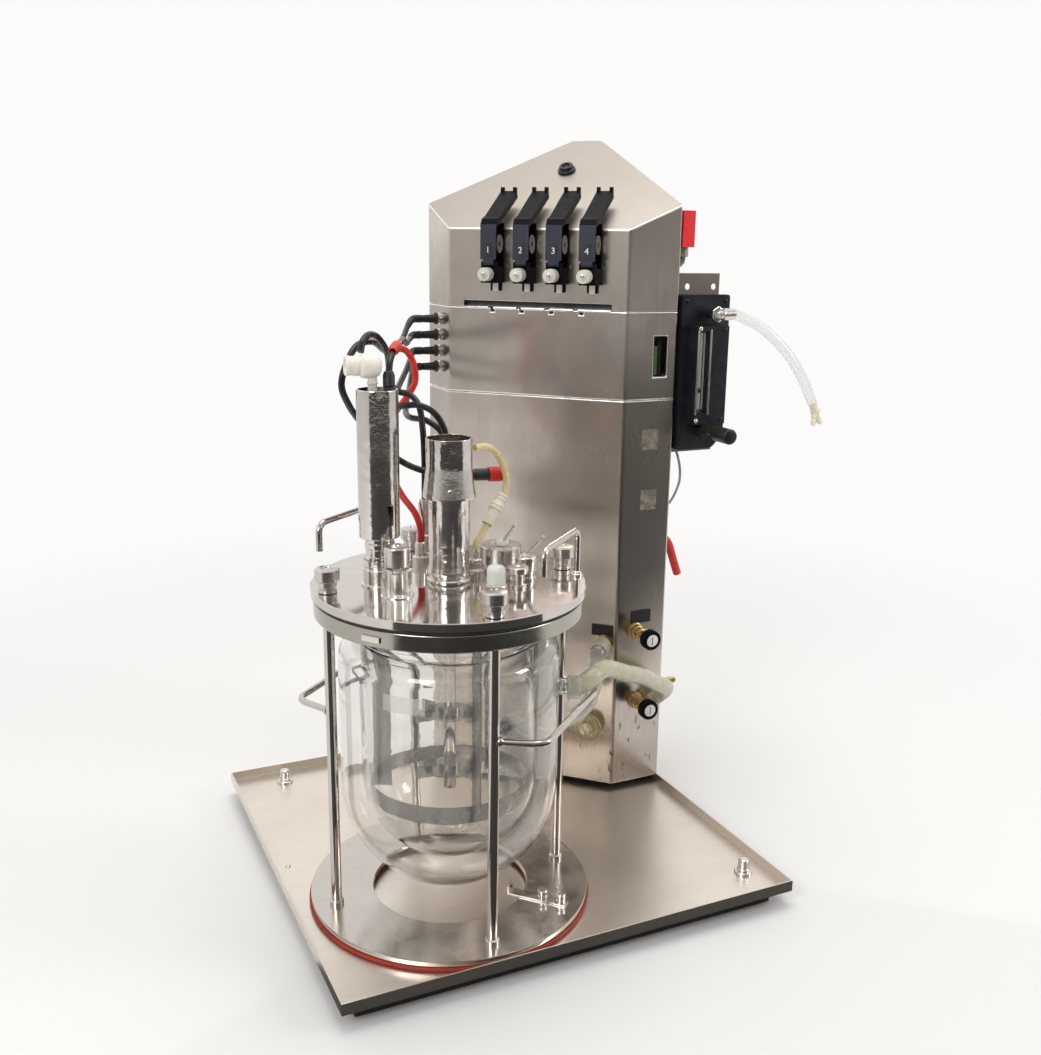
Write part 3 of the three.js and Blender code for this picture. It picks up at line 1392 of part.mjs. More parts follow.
/** The white elbow that stands in the condenser's open end. */
function makeVentElbow() {
  const axisX = VESSEL.x + CONDENSER_PORT.x;
  const axisY = VESSEL.y + CONDENSER_PORT.y;
  const rim = PLATE_TOP + CONDENSER.height;
  const neck = bar(VENT.neck, rim - VENT.depth, rim + VENT.depth, 10, axisX - VENT.offset, axisY);
  const start = new THREE.Vector3(axisX + VENT.start, axisY, rim + VENT.rise);
  const body = turnedAlong([
    [0, 0],
    [VENT.body - 3, 0],
    [VENT.body, 4],
    [VENT.body, VENT.length - 3],
    [VENT.body - 2, VENT.length],
    [0, VENT.length],
  ], start, new THREE.Vector3(-1, 0.12, 0.04), 14);
  return join(neck, body);
}

// ---- assembly ------------------------------------------------------------------------------

addPiece(bioreactor, "tray", makeTray(), steel());
addPiece(bioreactor, "base_frame", makeBaseFrame(), blackPlastic());
addPiece(vessel, "silicone_mat", makeMat(), rubber(0xb02a12));
addPiece(vessel, "vessel_stand", makeStand(), polished());
ROD.angles.forEach((angle, i) => {
  addPiece(vessel, `thumb_nut_${i + 1}`, makeNut(angle), polished());
});
addPiece(vessel, "glass_vessel", makeGlass(), glass());
addPiece(vessel, "clamp_ring", makeClampRing(), polished());
addPiece(vessel, "vessel_gasket", makeGasket(), rubber(0x151515));
addPiece(vessel, "head_plate", makeHeadPlate(), polished());
addPiece(vessel, "baffle_cage", makeBaffles(), polished());
addPiece(vessel, "stirrer_shaft", makeShaft(), polished());
addPiece(vessel, "impeller_lower", makeImpeller(IMPELLER_HEIGHTS.lower), polished());
addPiece(vessel, "impeller_upper", makeImpeller(IMPELLER_HEIGHTS.upper), polished());
addPiece(vessel, "drive_hub", makeHub(), polished());
addPiece(vessel, "drive_sleeve", makeSleeve(), polished());
addPiece(vessel, "condenser", makeCondenser(), polished());
addPiece(vessel, "addition_glass", makeAdditionGlass(), glass());
addPiece(vessel, "addition_cap", makeAdditionCap(), polished());

addPiece(bioreactor, "tower_plinth", makePlinth(), blackPlastic());
addPiece(bioreactor, "tower_lower_case", makeLowerCase(), steel());
addPiece(bioreactor, "tower_middle_case", makeMiddleCase(), steel());
addPiece(bioreactor, "tower_top_case", makeTopCase(), steel());

const face = new THREE.Group();
face.applyMatrix4(facePlace);
bioreactor.add(face);
addRoofPlug(face);
for (let index = 0; index < PUMP.count; index += 1) {
  addPump(face, index);
}

addPiece(bioreactor, "side_bracket", makeBracket(), steel());
addPiece(bioreactor, "flow_meter", makeMeter(), blackPlastic());
addPiece(bioreactor, "flow_tube", makeFlowTube(), glass());
addPiece(bioreactor, "flow_knob", makeFlowKnob(), blackPlastic());
addPiece(bioreactor, "relief_valve", makeRelief(), material(0xc41a12, 0.4, 0));
VALVES.forEach((valve) => {
  addPiece(bioreactor, `valve_knob_${valve.name}`, makeValveKnob(valve), blackPlastic());
});

const solidPieces = new THREE.Box3().setFromObject(bioreactor);

addHoses();
addPiece(bioreactor, "hose_connector", makeHoseConnector(), material(0xe6ddc8, 0.5, 0));
addPiece(bioreactor, "gas_hose_fitting", makeGasFitting(), material(0xd8cba6, 0.4, 0));
addPiece(bioreactor, "drain_coil", makeDrainCoil(), rubber(0xd6c67a));
addPiece(bioreactor, "vent_elbow", makeVentElbow(), material(0xe9e4d6, 0.5, 0));

// The origin is the middle of the rigid pieces' box, on the bench.
const middle = solidPieces.getCenter(new THREE.Vector3());
bioreactor.position.set(-middle.x, -middle.y, -solidPieces.min.z);

export default bioreactor;
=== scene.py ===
import math

import bpy
from mathutils import Matrix, Vector


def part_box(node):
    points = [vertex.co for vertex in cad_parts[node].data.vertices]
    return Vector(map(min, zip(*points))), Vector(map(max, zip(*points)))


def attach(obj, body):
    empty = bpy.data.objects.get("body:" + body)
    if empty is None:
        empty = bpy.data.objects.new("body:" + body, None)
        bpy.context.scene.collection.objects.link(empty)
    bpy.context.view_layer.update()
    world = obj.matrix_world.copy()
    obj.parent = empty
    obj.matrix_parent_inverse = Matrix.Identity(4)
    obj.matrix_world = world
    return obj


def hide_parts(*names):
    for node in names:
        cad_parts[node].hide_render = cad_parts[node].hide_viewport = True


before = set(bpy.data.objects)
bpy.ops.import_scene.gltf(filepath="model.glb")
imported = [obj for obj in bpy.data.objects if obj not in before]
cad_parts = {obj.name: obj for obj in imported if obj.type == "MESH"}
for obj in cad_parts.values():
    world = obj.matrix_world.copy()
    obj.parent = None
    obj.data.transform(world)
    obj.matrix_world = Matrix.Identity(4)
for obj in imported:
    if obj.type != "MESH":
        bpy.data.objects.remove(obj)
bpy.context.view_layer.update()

# ---- camera --------------------------------------------------------------------------------
# One camera with a short lens, at standing height in front of the vessel's left side.

eye = Vector((-0.4659, -1.0004, 0.6209))
yaw, pitch, roll = 0.448, 0.249, -0.016
ahead = Vector((math.sin(yaw) * math.cos(pitch), math.cos(yaw) * math.cos(pitch), -math.sin(pitch)))
level = Vector((math.cos(yaw), -math.sin(yaw), 0))
down = ahead.cross(level)
sideways = level * math.cos(roll) + down * math.sin(roll)
downward = down * math.cos(roll) - level * math.sin(roll)
lens = bpy.data.cameras.new("bench_camera")
lens.lens, lens.shift_x, lens.shift_y = 38.56, -0.0104, 0.0044
camera = bpy.data.objects.new("bench_camera", lens)
bpy.context.scene.collection.objects.link(camera)
turn_camera = Matrix((sideways, -downward, -ahead)).transposed().to_4x4()
camera.matrix_world = Matrix.Translation(eye) @ turn_camera
bpy.context.scene.camera = camera

# ---- floor and light -----------------------------------------------------------------------
# A wide pale floor that fades into a white backdrop, two soft boxes and a lamp above. The room is
# bright on the left and behind, and dim on the right, where bright metal needs something to show.
# A black card on the floor, which only reflections see, gives the polished pieces their dark lines.


def new_material(name, color, roughness, metallic=0.0):
    """A material with its even values set on the shader itself."""
    made = bpy.data.materials.new(name)
    made.use_nodes = True
    even = {"Base Color": (*color, 1), "Roughness": roughness, "Metallic": metallic}
    for key, value in even.items():
        shader_of(made).inputs[key].default_value = value
    return made


def shader_of(material):
    return material.node_tree.nodes["Principled BSDF"]


def add_node(owner, kind, inputs=None, **settings):
    """A node in a material, world or group. Each input gets a value or another node's output."""
    tree = getattr(owner, "node_tree", owner)
    made = tree.nodes.new(kind)
    for key, value in settings.items():
        setattr(made, key, value)
    for key, value in (inputs or {}).items():
        if isinstance(value, bpy.types.NodeSocket):
            tree.links.new(value, made.inputs[key])
        else:
            made.inputs[key].default_value = value
    return made


def seen_straight(owner):
    """1 for what is seen straight or through glass, and 0 for reflections and light."""
    ray = add_node(owner, "ShaderNodeLightPath").outputs
    either = {0: ray["Is Camera Ray"], 1: ray["Is Transmission Ray"]}
    return add_node(owner, "ShaderNodeMath", either, operation="MAXIMUM").outputs[0]


def pick(*pieces):
    """Leaves edit mode with only these pieces selected, and the first of them active."""
    if bpy.context.object and bpy.context.object.mode == "EDIT":
        bpy.ops.object.mode_set(mode="OBJECT")
    bpy.ops.object.select_all(action="DESELECT")
    for piece in pieces:
        piece.select_set(True)
    if pieces:
        bpy.context.view_layer.objects.active = pieces[0]


def select_faces(piece, chosen):
    """Selects the faces that a test picks, by their middle and normal, and stays in edit mode."""
    pick(piece)
    bpy.ops.object.mode_set(mode="EDIT")
    bpy.ops.mesh.select_mode(type="FACE")
    bpy.ops.mesh.select_all(action="DESELECT")
    bpy.ops.object.mode_set(mode="OBJECT")
    for polygon in piece.data.polygons:
        polygon.select = bool(chosen(polygon.center, polygon.normal))
    bpy.ops.object.mode_set(mode="EDIT")


ROOM_WHITE = (0.97, 0.967, 0.96, 1)
bpy.context.scene.view_settings.view_transform = "Standard"
pick()
bpy.ops.mesh.primitive_plane_add(size=40)
floor = bpy.context.object
floor.name = "floor"
floor_paint = new_material("floor_paint", (0.72, 0.715, 0.705), 0.6)
floor_place = add_node(floor_paint, "ShaderNodeTexCoord").outputs["Object"]
reach = add_node(floor_paint, "ShaderNodeVectorMath", {0: floor_place}, operation="LENGTH")
fade = add_node(floor_paint, "ShaderNodeMapRange", {
    "From Min": 0.35, "From Max": 1.7, "Value": reach.outputs["Value"],
}, interpolation_type="SMOOTHERSTEP")
share = add_node(floor_paint, "ShaderNodeMath", {
    0: fade.outputs["Result"], 1: seen_straight(floor_paint),
}, operation="MULTIPLY")
glow = add_node(floor_paint, "ShaderNodeEmission", {"Color": ROOM_WHITE})
floor_mix = add_node(floor_paint, "ShaderNodeMixShader", {
    0: share.outputs[0], 1: shader_of(floor_paint).outputs[0], 2: glow.outputs[0],
})
floor_surface = floor_paint.node_tree.nodes["Material Output"].inputs["Surface"]
floor_paint.node_tree.links.new(floor_mix.outputs[0], floor_surface)
floor.data.materials.append(floor_paint)

bpy.ops.mesh.primitive_circle_add(vertices=120, radius=6, fill_type="TRIFAN", location=(0, 0, 0.004))
card = bpy.context.object
card.name = "black_card"
select_faces(card, lambda c, n: not -62 < math.degrees(math.atan2(c.x, -c.y)) < 48)
bpy.ops.mesh.delete(type="FACE")
bpy.ops.object.mode_set(mode="OBJECT")
card.data.materials.append(new_material("card_paint", (0.02, 0.018, 0.017), 0.8))
for ray_kind in ("camera", "diffuse", "transmission", "shadow"):
    setattr(card, f"visible_{ray_kind}", False)

world = bpy.data.worlds.new("studio")
bpy.context.scene.world = world
world.use_nodes = True
direction = add_node(world, "ShaderNodeTexCoord").outputs["Generated"]
bright_side = add_node(world, "ShaderNodeVectorMath", {
    0: direction, 1: (0.10, 0.96, 0.24),
}, operation="DOT_PRODUCT")
side = add_node(world, "ShaderNodeMapRange", {"From Min": -1, "Value": bright_side.outputs["Value"]})
shade = add_node(world, "ShaderNodeValToRGB", {"Fac": side.outputs["Result"]})
stops = shade.color_ramp.elements
stops[0].position, stops[0].color = 0.0, (0.15, 0.135, 0.125, 1)
stops[1].position, stops[1].color = 0.6, (1.0, 0.985, 0.97, 1)
for place, grey in ((0.12, 0.2), (0.3, 0.55)):
    stops.new(place).color = (grey, grey * 0.97, grey * 0.94, 1)
world_seen = add_node(world, "ShaderNodeMix", {
    0: seen_straight(world), 6: shade.outputs["Color"], 7: ROOM_WHITE,
}, data_type="RGBA")
backdrop = world.node_tree.nodes["Background"]
world.node_tree.links.new(world_seen.outputs[2], backdrop.inputs["Color"])
backdrop.inputs["Strength"].default_value = 1.0

for name, place, towards, size, power in [
    ("soft_box_left", (-1.7, -1.3, 1.5), (0, 0, 0.35), 0.9, 20),
    ("soft_box_right", (1.9, -1.2, 1.3), (0, 0, 0.35), 0.6, 12),
    ("lamp_above", (0.1, 0.2, 2.4), (0, 0, 0.3), 1.2, 20),
]:
    light = bpy.data.lights.new(name, "AREA")
    light.shape, light.size, light.energy = "SQUARE", size, power
    box = bpy.data.objects.new(name, light)
    bpy.context.scene.collection.objects.link(box)
    box.location = place
    aim_line = Vector(towards) - Vector(place)
    box.rotation_euler = aim_line.to_track_quat("-Z", "Y").to_euler()

# ---- water, gas and feed hoses -------------------------------------------------------------
# Clear silicone and vinyl hoses, a red silicone hose and a thin feed hose. They leave the tower's
# nozzles and the flow meter, and push over the glass nozzles, the valves or a loose end fitting.

tray_low, tray_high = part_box("tray")
tray_middle = (tray_low + tray_high) / 2
MM = 0.001


def on_tray(x, y, z):
    """A place from the tray's middle and the bench, in millimetres."""
    return Vector((tray_middle.x + x * MM, tray_middle.y + y * MM, z * MM))


def smooth_line(corners, step=2.0):
    """Points along a smooth line through corner points, in millimetres."""
    p = [Vector(c) for c in corners]
    p = [2 * p[0] - p[1], *p, 2 * p[-1] - p[-2]]
    line = []
    for a, b, c, d in zip(p, p[1:], p[2:], p[3:]):
        ta = 0.0
        tb = ta + max((b - a).length, 1e-6) ** 0.5
        tc = tb + max((c - b).length, 1e-6) ** 0.5
        td = tc + max((d - c).length, 1e-6) ** 0.5
        count = max(2, int((c - b).length / step))
        for k in range(count):
            t = tb + (tc - tb) * k / count
            ab = a.lerp(b, (t - ta) / (tb - ta))
            bc = b.lerp(c, (t - tb) / (tc - tb))
            cd = c.lerp(d, (t - tc) / (td - tc))
            first = ab.lerp(bc, (t - ta) / (tc - ta))
            second = bc.lerp(cd, (t - tb) / (td - tb))
            line.append(first.lerp(second, (t - tb) / (tc - tb)))
    line.append(p[-2])
    return line


def drawn(name, line, radius, material, detail):
    """A round rod, hose or cable: a curve through places with its thickness in millimetres."""
    curve = bpy.data.curves.new(name, "CURVE")
    curve.dimensions = "3D"
    curve.bevel_depth = radius * MM
    curve.bevel_resolution = detail
    curve.use_fill_caps = True
    curve.materials.append(material)
    points = curve.splines.new("POLY").points
    points.add(len(line) - 1)
    for point, place in zip(points, line):
        point.co = (*place, 1)
    piece = bpy.data.objects.new(name, curve)
    bpy.context.scene.collection.objects.link(piece)
    return piece


def hose(name, node, corners, radius, material, detail=4):
    """A hose or cable along a smooth line through corners, in place of a CAD node."""
    line = [on_tray(*place) for place in smooth_line(corners)]
    piece = drawn(name, line, radius, material, detail)
    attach(piece, "frame")
    if node:
        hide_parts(node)
    return piece


def noise_group(name, spacing, detail, roughness, low, high):
    """Noise stretched to run between two values. Its spacing is one scale, or a scale for each
    direction that draws it out."""
    group = bpy.data.node_groups.new(name, "ShaderNodeTree")
    drawn_out = spacing == "Stretch"
    for socket, kind in [
        ("Vector", "Vector"), (spacing, "Vector" if drawn_out else "Float"),
        ("Low", "Float"), ("High", "Float"),
    ]:
        group.interface.new_socket(socket, in_out="INPUT", socket_type=f"NodeSocket{kind}")
    group.interface.new_socket("Value", in_out="OUTPUT", socket_type="NodeSocketFloat")
    given = add_node(group, "NodeGroupInput").outputs
    at, scale = given["Vector"], 1
    if drawn_out:
        stretch = {0: at, 1: given["Stretch"]}
        at = add_node(group, "ShaderNodeVectorMath", stretch, operation="MULTIPLY").outputs[0]
    else:
        scale = given["Scale"]
    texture = add_node(group, "ShaderNodeTexNoise", {
        "Vector": at, "Scale": scale, "Detail": detail, "Roughness": roughness,
    })
    spread = add_node(group, "ShaderNodeMapRange", {
        "Value": texture.outputs["Fac"], "From Min": low, "From Max": high,
        "To Min": given["Low"], "To Max": given["High"],
    })
    add_node(group, "NodeGroupOutput", {"Value": spread.outputs["Result"]})
    return group


PATCHES = noise_group("uneven_patches", "Scale", 4, 0.6, 0.32, 0.68)
MARKS = noise_group("drawn_marks", "Stretch", 3, 0.7, 0.3, 0.7)


def place_on(material, socket="Object"):
    """The coordinates that a material's patterns sit on."""
    return add_node(material, "ShaderNodeTexCoord").outputs[socket]


def noise(material, spacing, low=0, high=1, vector=None):
    """Soft patches of dirt or handling for one spacing, or fine drawn-out marks for three."""
    drawn_out = isinstance(spacing, tuple)
    return add_node(material, "ShaderNodeGroup", {
        "Vector": vector or place_on(material), "Stretch" if drawn_out else "Scale": spacing,
        "Low": low, "High": high,
    }, node_tree=MARKS if drawn_out else PATCHES).outputs["Value"]


def tint(material, value, first, second):
    """Drives the base colour between two colours."""
    mix = add_node(material, "ShaderNodeMix", {
        0: value, 6: (*first, 1), 7: (*second, 1),
    }, data_type="RGBA")
    material.node_tree.links.new(mix.outputs[2], shader_of(material).inputs["Base Color"])


def roughen(material, value):
    material.node_tree.links.new(value, shader_of(material).inputs["Roughness"])


def emboss(material, value, distance, strength=1.0):
    """Raises the surface by a value, over a distance in millimetres."""
    bump = add_node(material, "ShaderNodeBump", {
        "Distance": distance * MM, "Strength": strength, "Height": value,
    })
    material.node_tree.links.new(bump.outputs["Normal"], shader_of(material).inputs["Normal"])


def worn(made, tones=None, wear=None, grain=None):
    """Gives a material uneven tones, uneven gloss and a raised grain, each as (spacing, ...)."""
    if tones:
        tint(made, noise(made, tones[0]), *tones[1:])
    if wear:
        roughen(made, noise(made, *wear))
    if grain:
        emboss(made, noise(made, grain[0]), *grain[1:])
    return made


def clear_material(name, color, roughness, through, density=0.0):
    """Hose or moulded plastic that light passes into."""
    made = new_material(name, color, roughness)
    passing = {
        "Transmission Weight": through, "IOR": 1.42,
        "Subsurface Weight": density, "Subsurface Radius": (0.006, 0.005, 0.003),
    }
    for key, value in passing.items():
        shader_of(made).inputs[key].default_value = value
    return made


milky_hose = worn(
    clear_material("milky_hose", (0.66, 0.62, 0.47), 0.22, 0.3, 0.25),
    tones=(40, (0.66, 0.63, 0.49), (0.58, 0.54, 0.38)), wear=(60, 0.2, 0.3),
)
water_clear = worn(
    clear_material("water_clear_hose", (0.90, 0.91, 0.88), 0.12, 0.8),
    tones=(50, (0.90, 0.905, 0.87), (0.85, 0.84, 0.76)), wear=(60, 0.08, 0.18),
)
gas_clear = worn(
    clear_material("braided_gas_hose", (0.94, 0.94, 0.93), 0.2, 0.8),
    tones=(60, (0.96, 0.96, 0.955), (0.91, 0.905, 0.89)), wear=(90, 0.16, 0.26),
)
amber_hose = worn(
    clear_material("aged_feed_hose", (0.85, 0.72, 0.42), 0.2, 0.4, 0.3),
    tones=(50, (0.86, 0.75, 0.46), (0.81, 0.68, 0.38)), wear=(120, 0.15, 0.3),
)
red_rubber = worn(
    new_material("red_silicone", (0.62, 0.03, 0.02), 0.35),
    tones=(80, (0.66, 0.035, 0.02), (0.48, 0.02, 0.015)), wear=(180, 0.25, 0.5),
)
shader_of(red_rubber).inputs["Subsurface Weight"].default_value = 0.1

for name, node, slot, radius, material, detail, far_end, stiffness, corners in [
    ("upper_water_hose", "water_hose_upper", "clear_hose", 8.6, milky_hose, 7, "object", "stiff", [
        (23.2, -129.6, 225), (32, -133.5, 226), (48, -132, 232.5), (66, -121, 233), (86, -107, 224),
        (107, -91, 212), (130, -73, 200), (153, -55, 187), (176, -36, 171), (197, -19, 158),
        (213, -3, 147), (218, 10, 136), (215, 19, 127), (210.5, 20.5, 122.5), (204.6, 20.5, 122),
    ]),
    ("lower_water_hose", "water_hose_lower", "clear_hose", 8.6, water_clear, 7, "object", "stiff", [
        (151.3, 32.8, 194), (144, 25.5, 194), (137, 18.5, 187), (133, 15, 172), (130.5, 14.5, 154),
        (123, 14, 136), (106, 9, 127), (80, 0, 128), (54, -6, 138), (34, -9, 150),
        (22.5, -15.9, 155), (12.5, -22.9, 155),
    ]),
    ("red_drain_hose", "red_hose", "red_silicone", 4.7, red_rubber, 5, "bare", "medium", [
        (228.6, 50, 303), (235, 50, 303), (242, 51, 296), (250, 54, 279), (259, 56, 258),
    ]),
]:
    piece = hose(name, node, corners, radius, material, detail)

gas_route = [
    (275.5, 8, 553), (284, 7.8, 552.8), (296, 5, 548), (311, -1, 540), (328, -5, 527),
    (347, -9, 508), (365, -11, 483), (379, -12, 458),
]
gas_hose = hose("gas_outlet_hose", "gas_hose", gas_route, 5.5, gas_clear, 6)

feed_route = [
    (-51.5, -84, 446), (-41, -80, 446), (-28, -73, 440), (-18, -67, 428), (-12.5, -66, 412),
    (-15, -68, 400), (-24, -71.5, 388.5), (-36, -76.1, 373.3), (-45, -79.8, 362),
    (-48.7, -81.1, 358), (-48.9, -81.2, 352.7),
]
feed_hose = hose("amber_feed_hose", "feed_hose", feed_route, 3.15, amber_hose, 5)


def wrap_map(piece):
    """A map that runs round the Z axis, 0 to 1, and along the piece in metres."""
    mesh = piece.data
    layer = mesh.uv_layers.active or mesh.uv_layers.new(name="around")
    for polygon in mesh.polygons:
        spots = [mesh.vertices[v].co for v in polygon.vertices]
        turns = [math.atan2(s.y, s.x) / math.tau % 1 for s in spots]
        if max(turns) - min(turns) > 0.5:
            turns = [t + 1 if t < 0.5 else t for t in turns]
        for loop, t, s in zip(polygon.loop_indices, turns, spots):
            layer.data[loop].uv = (t, s.z - math.hypot(s.x, s.y))


def aim(piece, place, axis=(0, 0, 1), spin=0.0):
    """Turns a piece made along Z to an axis, moves it to its place and fixes it there."""
    along = Vector(axis).normalized()
    upright = along.z > 0.9999
    turn = Matrix.Identity(4) if upright else along.to_track_quat("Z", "Y").to_matrix().to_4x4()
    piece.data.transform(Matrix.Translation(Vector(place)) @ turn @ Matrix.Rotation(spin, 4, "Z"))
    piece.data.update()


def smooth(piece, angle=40):
    pick(piece)
    bpy.ops.object.shade_smooth_by_angle(angle=math.radians(angle))


def bevel(piece, width, segments=2, angle=30, edge_slot=None):
    """Rounds every edge sharper than an angle by a width in millimetres, and keeps flat faces
    flat. The rounded edges can take a material of their own, such as a painted highlight."""
    pick(piece)
    rounding = piece.modifiers.new("rounding", "BEVEL")
    rounding.width = width * MM
    rounding.segments = segments
    rounding.limit_method = "ANGLE"
    rounding.angle_limit = math.radians(angle)
    if edge_slot is not None:
        rounding.material = edge_slot
    bpy.ops.object.modifier_apply(modifier="rounding")
    smooth(piece)
    flat = piece.modifiers.new("even", "WEIGHTED_NORMAL")
    flat.keep_sharp = True
    flat.weight = 90
    bpy.ops.object.modifier_apply(modifier="even")


def turned(name, rings, material, segments=48, closed=False, inside=False):
    """A turned piece: a circle drawn out ring by ring through (radius, height) in millimetres.
    A closed one is a tube whose last ring meets its first. Others are capped at both ends."""
    pick()
    radius, height = rings[0]
    bpy.ops.mesh.primitive_circle_add(
        vertices=segments, radius=radius * MM, fill_type="NOTHING" if closed else "NGON",
        location=(0, 0, height * MM),
    )
    piece = bpy.context.object
    piece.name = name
    bpy.ops.object.transform_apply(location=True, rotation=True, scale=True)
    bpy.ops.object.mode_set(mode="EDIT")
    bpy.ops.mesh.select_all(action="SELECT")
    draw_out = bpy.ops.mesh.extrude_edges_move if closed else bpy.ops.mesh.extrude_region_move
    for next_radius, next_height in [*rings[1:], rings[0]] if closed else rings[1:]:
        rise = (0, 0, (next_height - height) * MM)
        draw_out(TRANSFORM_OT_translate={"value": rise})
        scale = next_radius / radius
        bpy.ops.transform.resize(value=(scale, scale, 1), center_override=(0, 0, next_height * MM))
        radius, height = next_radius, next_height
    bpy.ops.mesh.select_all(action="SELECT")
    bpy.ops.mesh.remove_doubles(threshold=1e-6)
    bpy.ops.mesh.normals_make_consistent(inside=inside)
    bpy.ops.object.mode_set(mode="OBJECT")
    wrap_map(piece)
    piece.data.materials.append(material)
    return piece


def knurled(piece, segments, radius, low, high, depth):
    """Draws in every other upright edge of a turned cap, between two heights."""
    pick(piece)
    bpy.ops.object.mode_set(mode="EDIT")
    bpy.ops.mesh.select_mode(type="VERT")
    bpy.ops.object.mode_set(mode="OBJECT")
    for vertex in piece.data.vertices:
        spot = vertex.co / MM
        index = round(math.atan2(spot.y, spot.x) / math.tau * segments)
        on_side = abs(math.hypot(spot.x, spot.y) - radius) < 0.05
        vertex.select = on_side and low - 0.01 <= spot.z <= high + 0.01 and index % 2 == 1
    bpy.ops.object.mode_set(mode="EDIT")
    shrink = (radius - depth) / radius
    bpy.ops.transform.resize(value=(shrink, shrink, 1), center_override=(0, 0, low * MM))
    bpy.ops.object.mode_set(mode="OBJECT")


def fit(piece, body="frame", node=None):
    """Fixes a finished piece to its body and hides the CAD node it stands for."""
    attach(piece, body)
    if node:
        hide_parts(node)
    return piece


def part(
    name, rings, material, segments, place, axis=(0, 0, 1), spin=0.0, knurl=None, soft=35, edge=None,
    closed=False, body="frame", node=None,
):
    """A turned piece in its place, knurled if asked. Its edges are shaded soft up to an angle, or
    rounded where an edge width is given."""
    piece = turned(name, rings, material, segments, closed)
    if knurl:
        knurled(piece, segments, *knurl)
    aim(piece, place, axis, spin)
    if edge:
        bevel(piece, *(edge if isinstance(edge, tuple) else (edge,)))
    else:
        smooth(piece, soft)
    return fit(piece, body, node)


def moulded_plastic(name, color, low=0.35, high=0.55, texture=0.06):
    """Moulded plastic with a fine grain, handled unevenly."""
    shade = tuple(c * 0.82 for c in color)
    return worn(
        new_material(name, color, low), (45, color, shade), (110, low, high), ((1500, 1500, 1500), texture),
    )


# The cream ribbed coupling on the feed hose, round its straight stretch.
cream_plastic = moulded_plastic("cream_plastic", (0.80, 0.74, 0.60))
coupling_start = on_tray(-16.5, -68.7, 398)
coupling_end = on_tray(-36, -76.1, 373.3)
long = (coupling_end - coupling_start).length / MM
coupling = part("feed_coupling", [
    (4.15, 0), (5.0, 0), (5.0, 1.5), (5.5, 2), (5.5, 3.2), (5.0, 3.6), (5.0, 5), (5.6, 5.4), (5.6, 6.6),
    (5.1, 7), (5.1, 8.6), (5.8, 9.2), (5.8, long * 0.33), (7.2, long * 0.37), (7.2, long * 0.42),
    (6.6, long * 0.43), (6.6, long * 0.45), (7.2, long * 0.46), (7.2, long * 0.52), (5.8, long * 0.56),
    (5.2, long * 0.7), (5.6, long * 0.74), (5.6, long * 0.8), (5.1, long * 0.84), (5.1, long), (4.15, long),
], cream_plastic, 32, coupling_start,
    coupling_end - coupling_start, edge=0.25, closed=True, node="hose_connector")

# The two-way end fitting on the gas hose: a barbed body with a side branch.
straight_start = on_tray(379.3, -12.1, 457.4)
straight_down = Vector((13, -1, -25))
end_fitting = part("gas_end_fitting", [
    (3.0, 0), (4.4, 0), (4.6, 1), (4.2, 4), (4.7, 4.4), (4.3, 7.6), (5.5, 8), (5.5, 12), (4.0, 12.6),
    (3.0, 13), (2.7, 18), (3.2, 18.4), (2.7, 22), (3.1, 22.4), (2.4, 26), (1.2, 26),
], clear_material("yellowed_end_fitting", (0.88, 0.82, 0.66), 0.3, 0.08, 0.15), 28, straight_start,
    straight_down, node="gas_hose_fitting")
branch = part("gas_fitting_branch", [
    (2.2, 0), (2.6, 0), (2.6, 5), (3.2, 5.5), (3.2, 9), (2.5, 9.4), (2.5, 13), (3.0, 13.4), (2.2, 18),
    (1.2, 18),
], end_fitting.data.materials[0], 24, straight_start + straight_down * 0.3 * MM,
    (-4, -4, -14))

# ---- signal cables -------------------------------------------------------------------------
# Round black cables from the tower's glands to the sensors in the head plate, and a red lead.
# Each enters a gland's boot at one end and a probe's socket at the other.

black_sheath = new_material("black_cable_sheath", (0.010, 0.010, 0.012), 0.28)
shader_of(black_sheath).inputs["Specular IOR Level"].default_value = 0.3
worn(
    black_sheath, (70, (0.009, 0.009, 0.011), (0.018, 0.018, 0.020)), (150, 0.2, 0.36),
    ((900, 900, 900), 0.03),
)

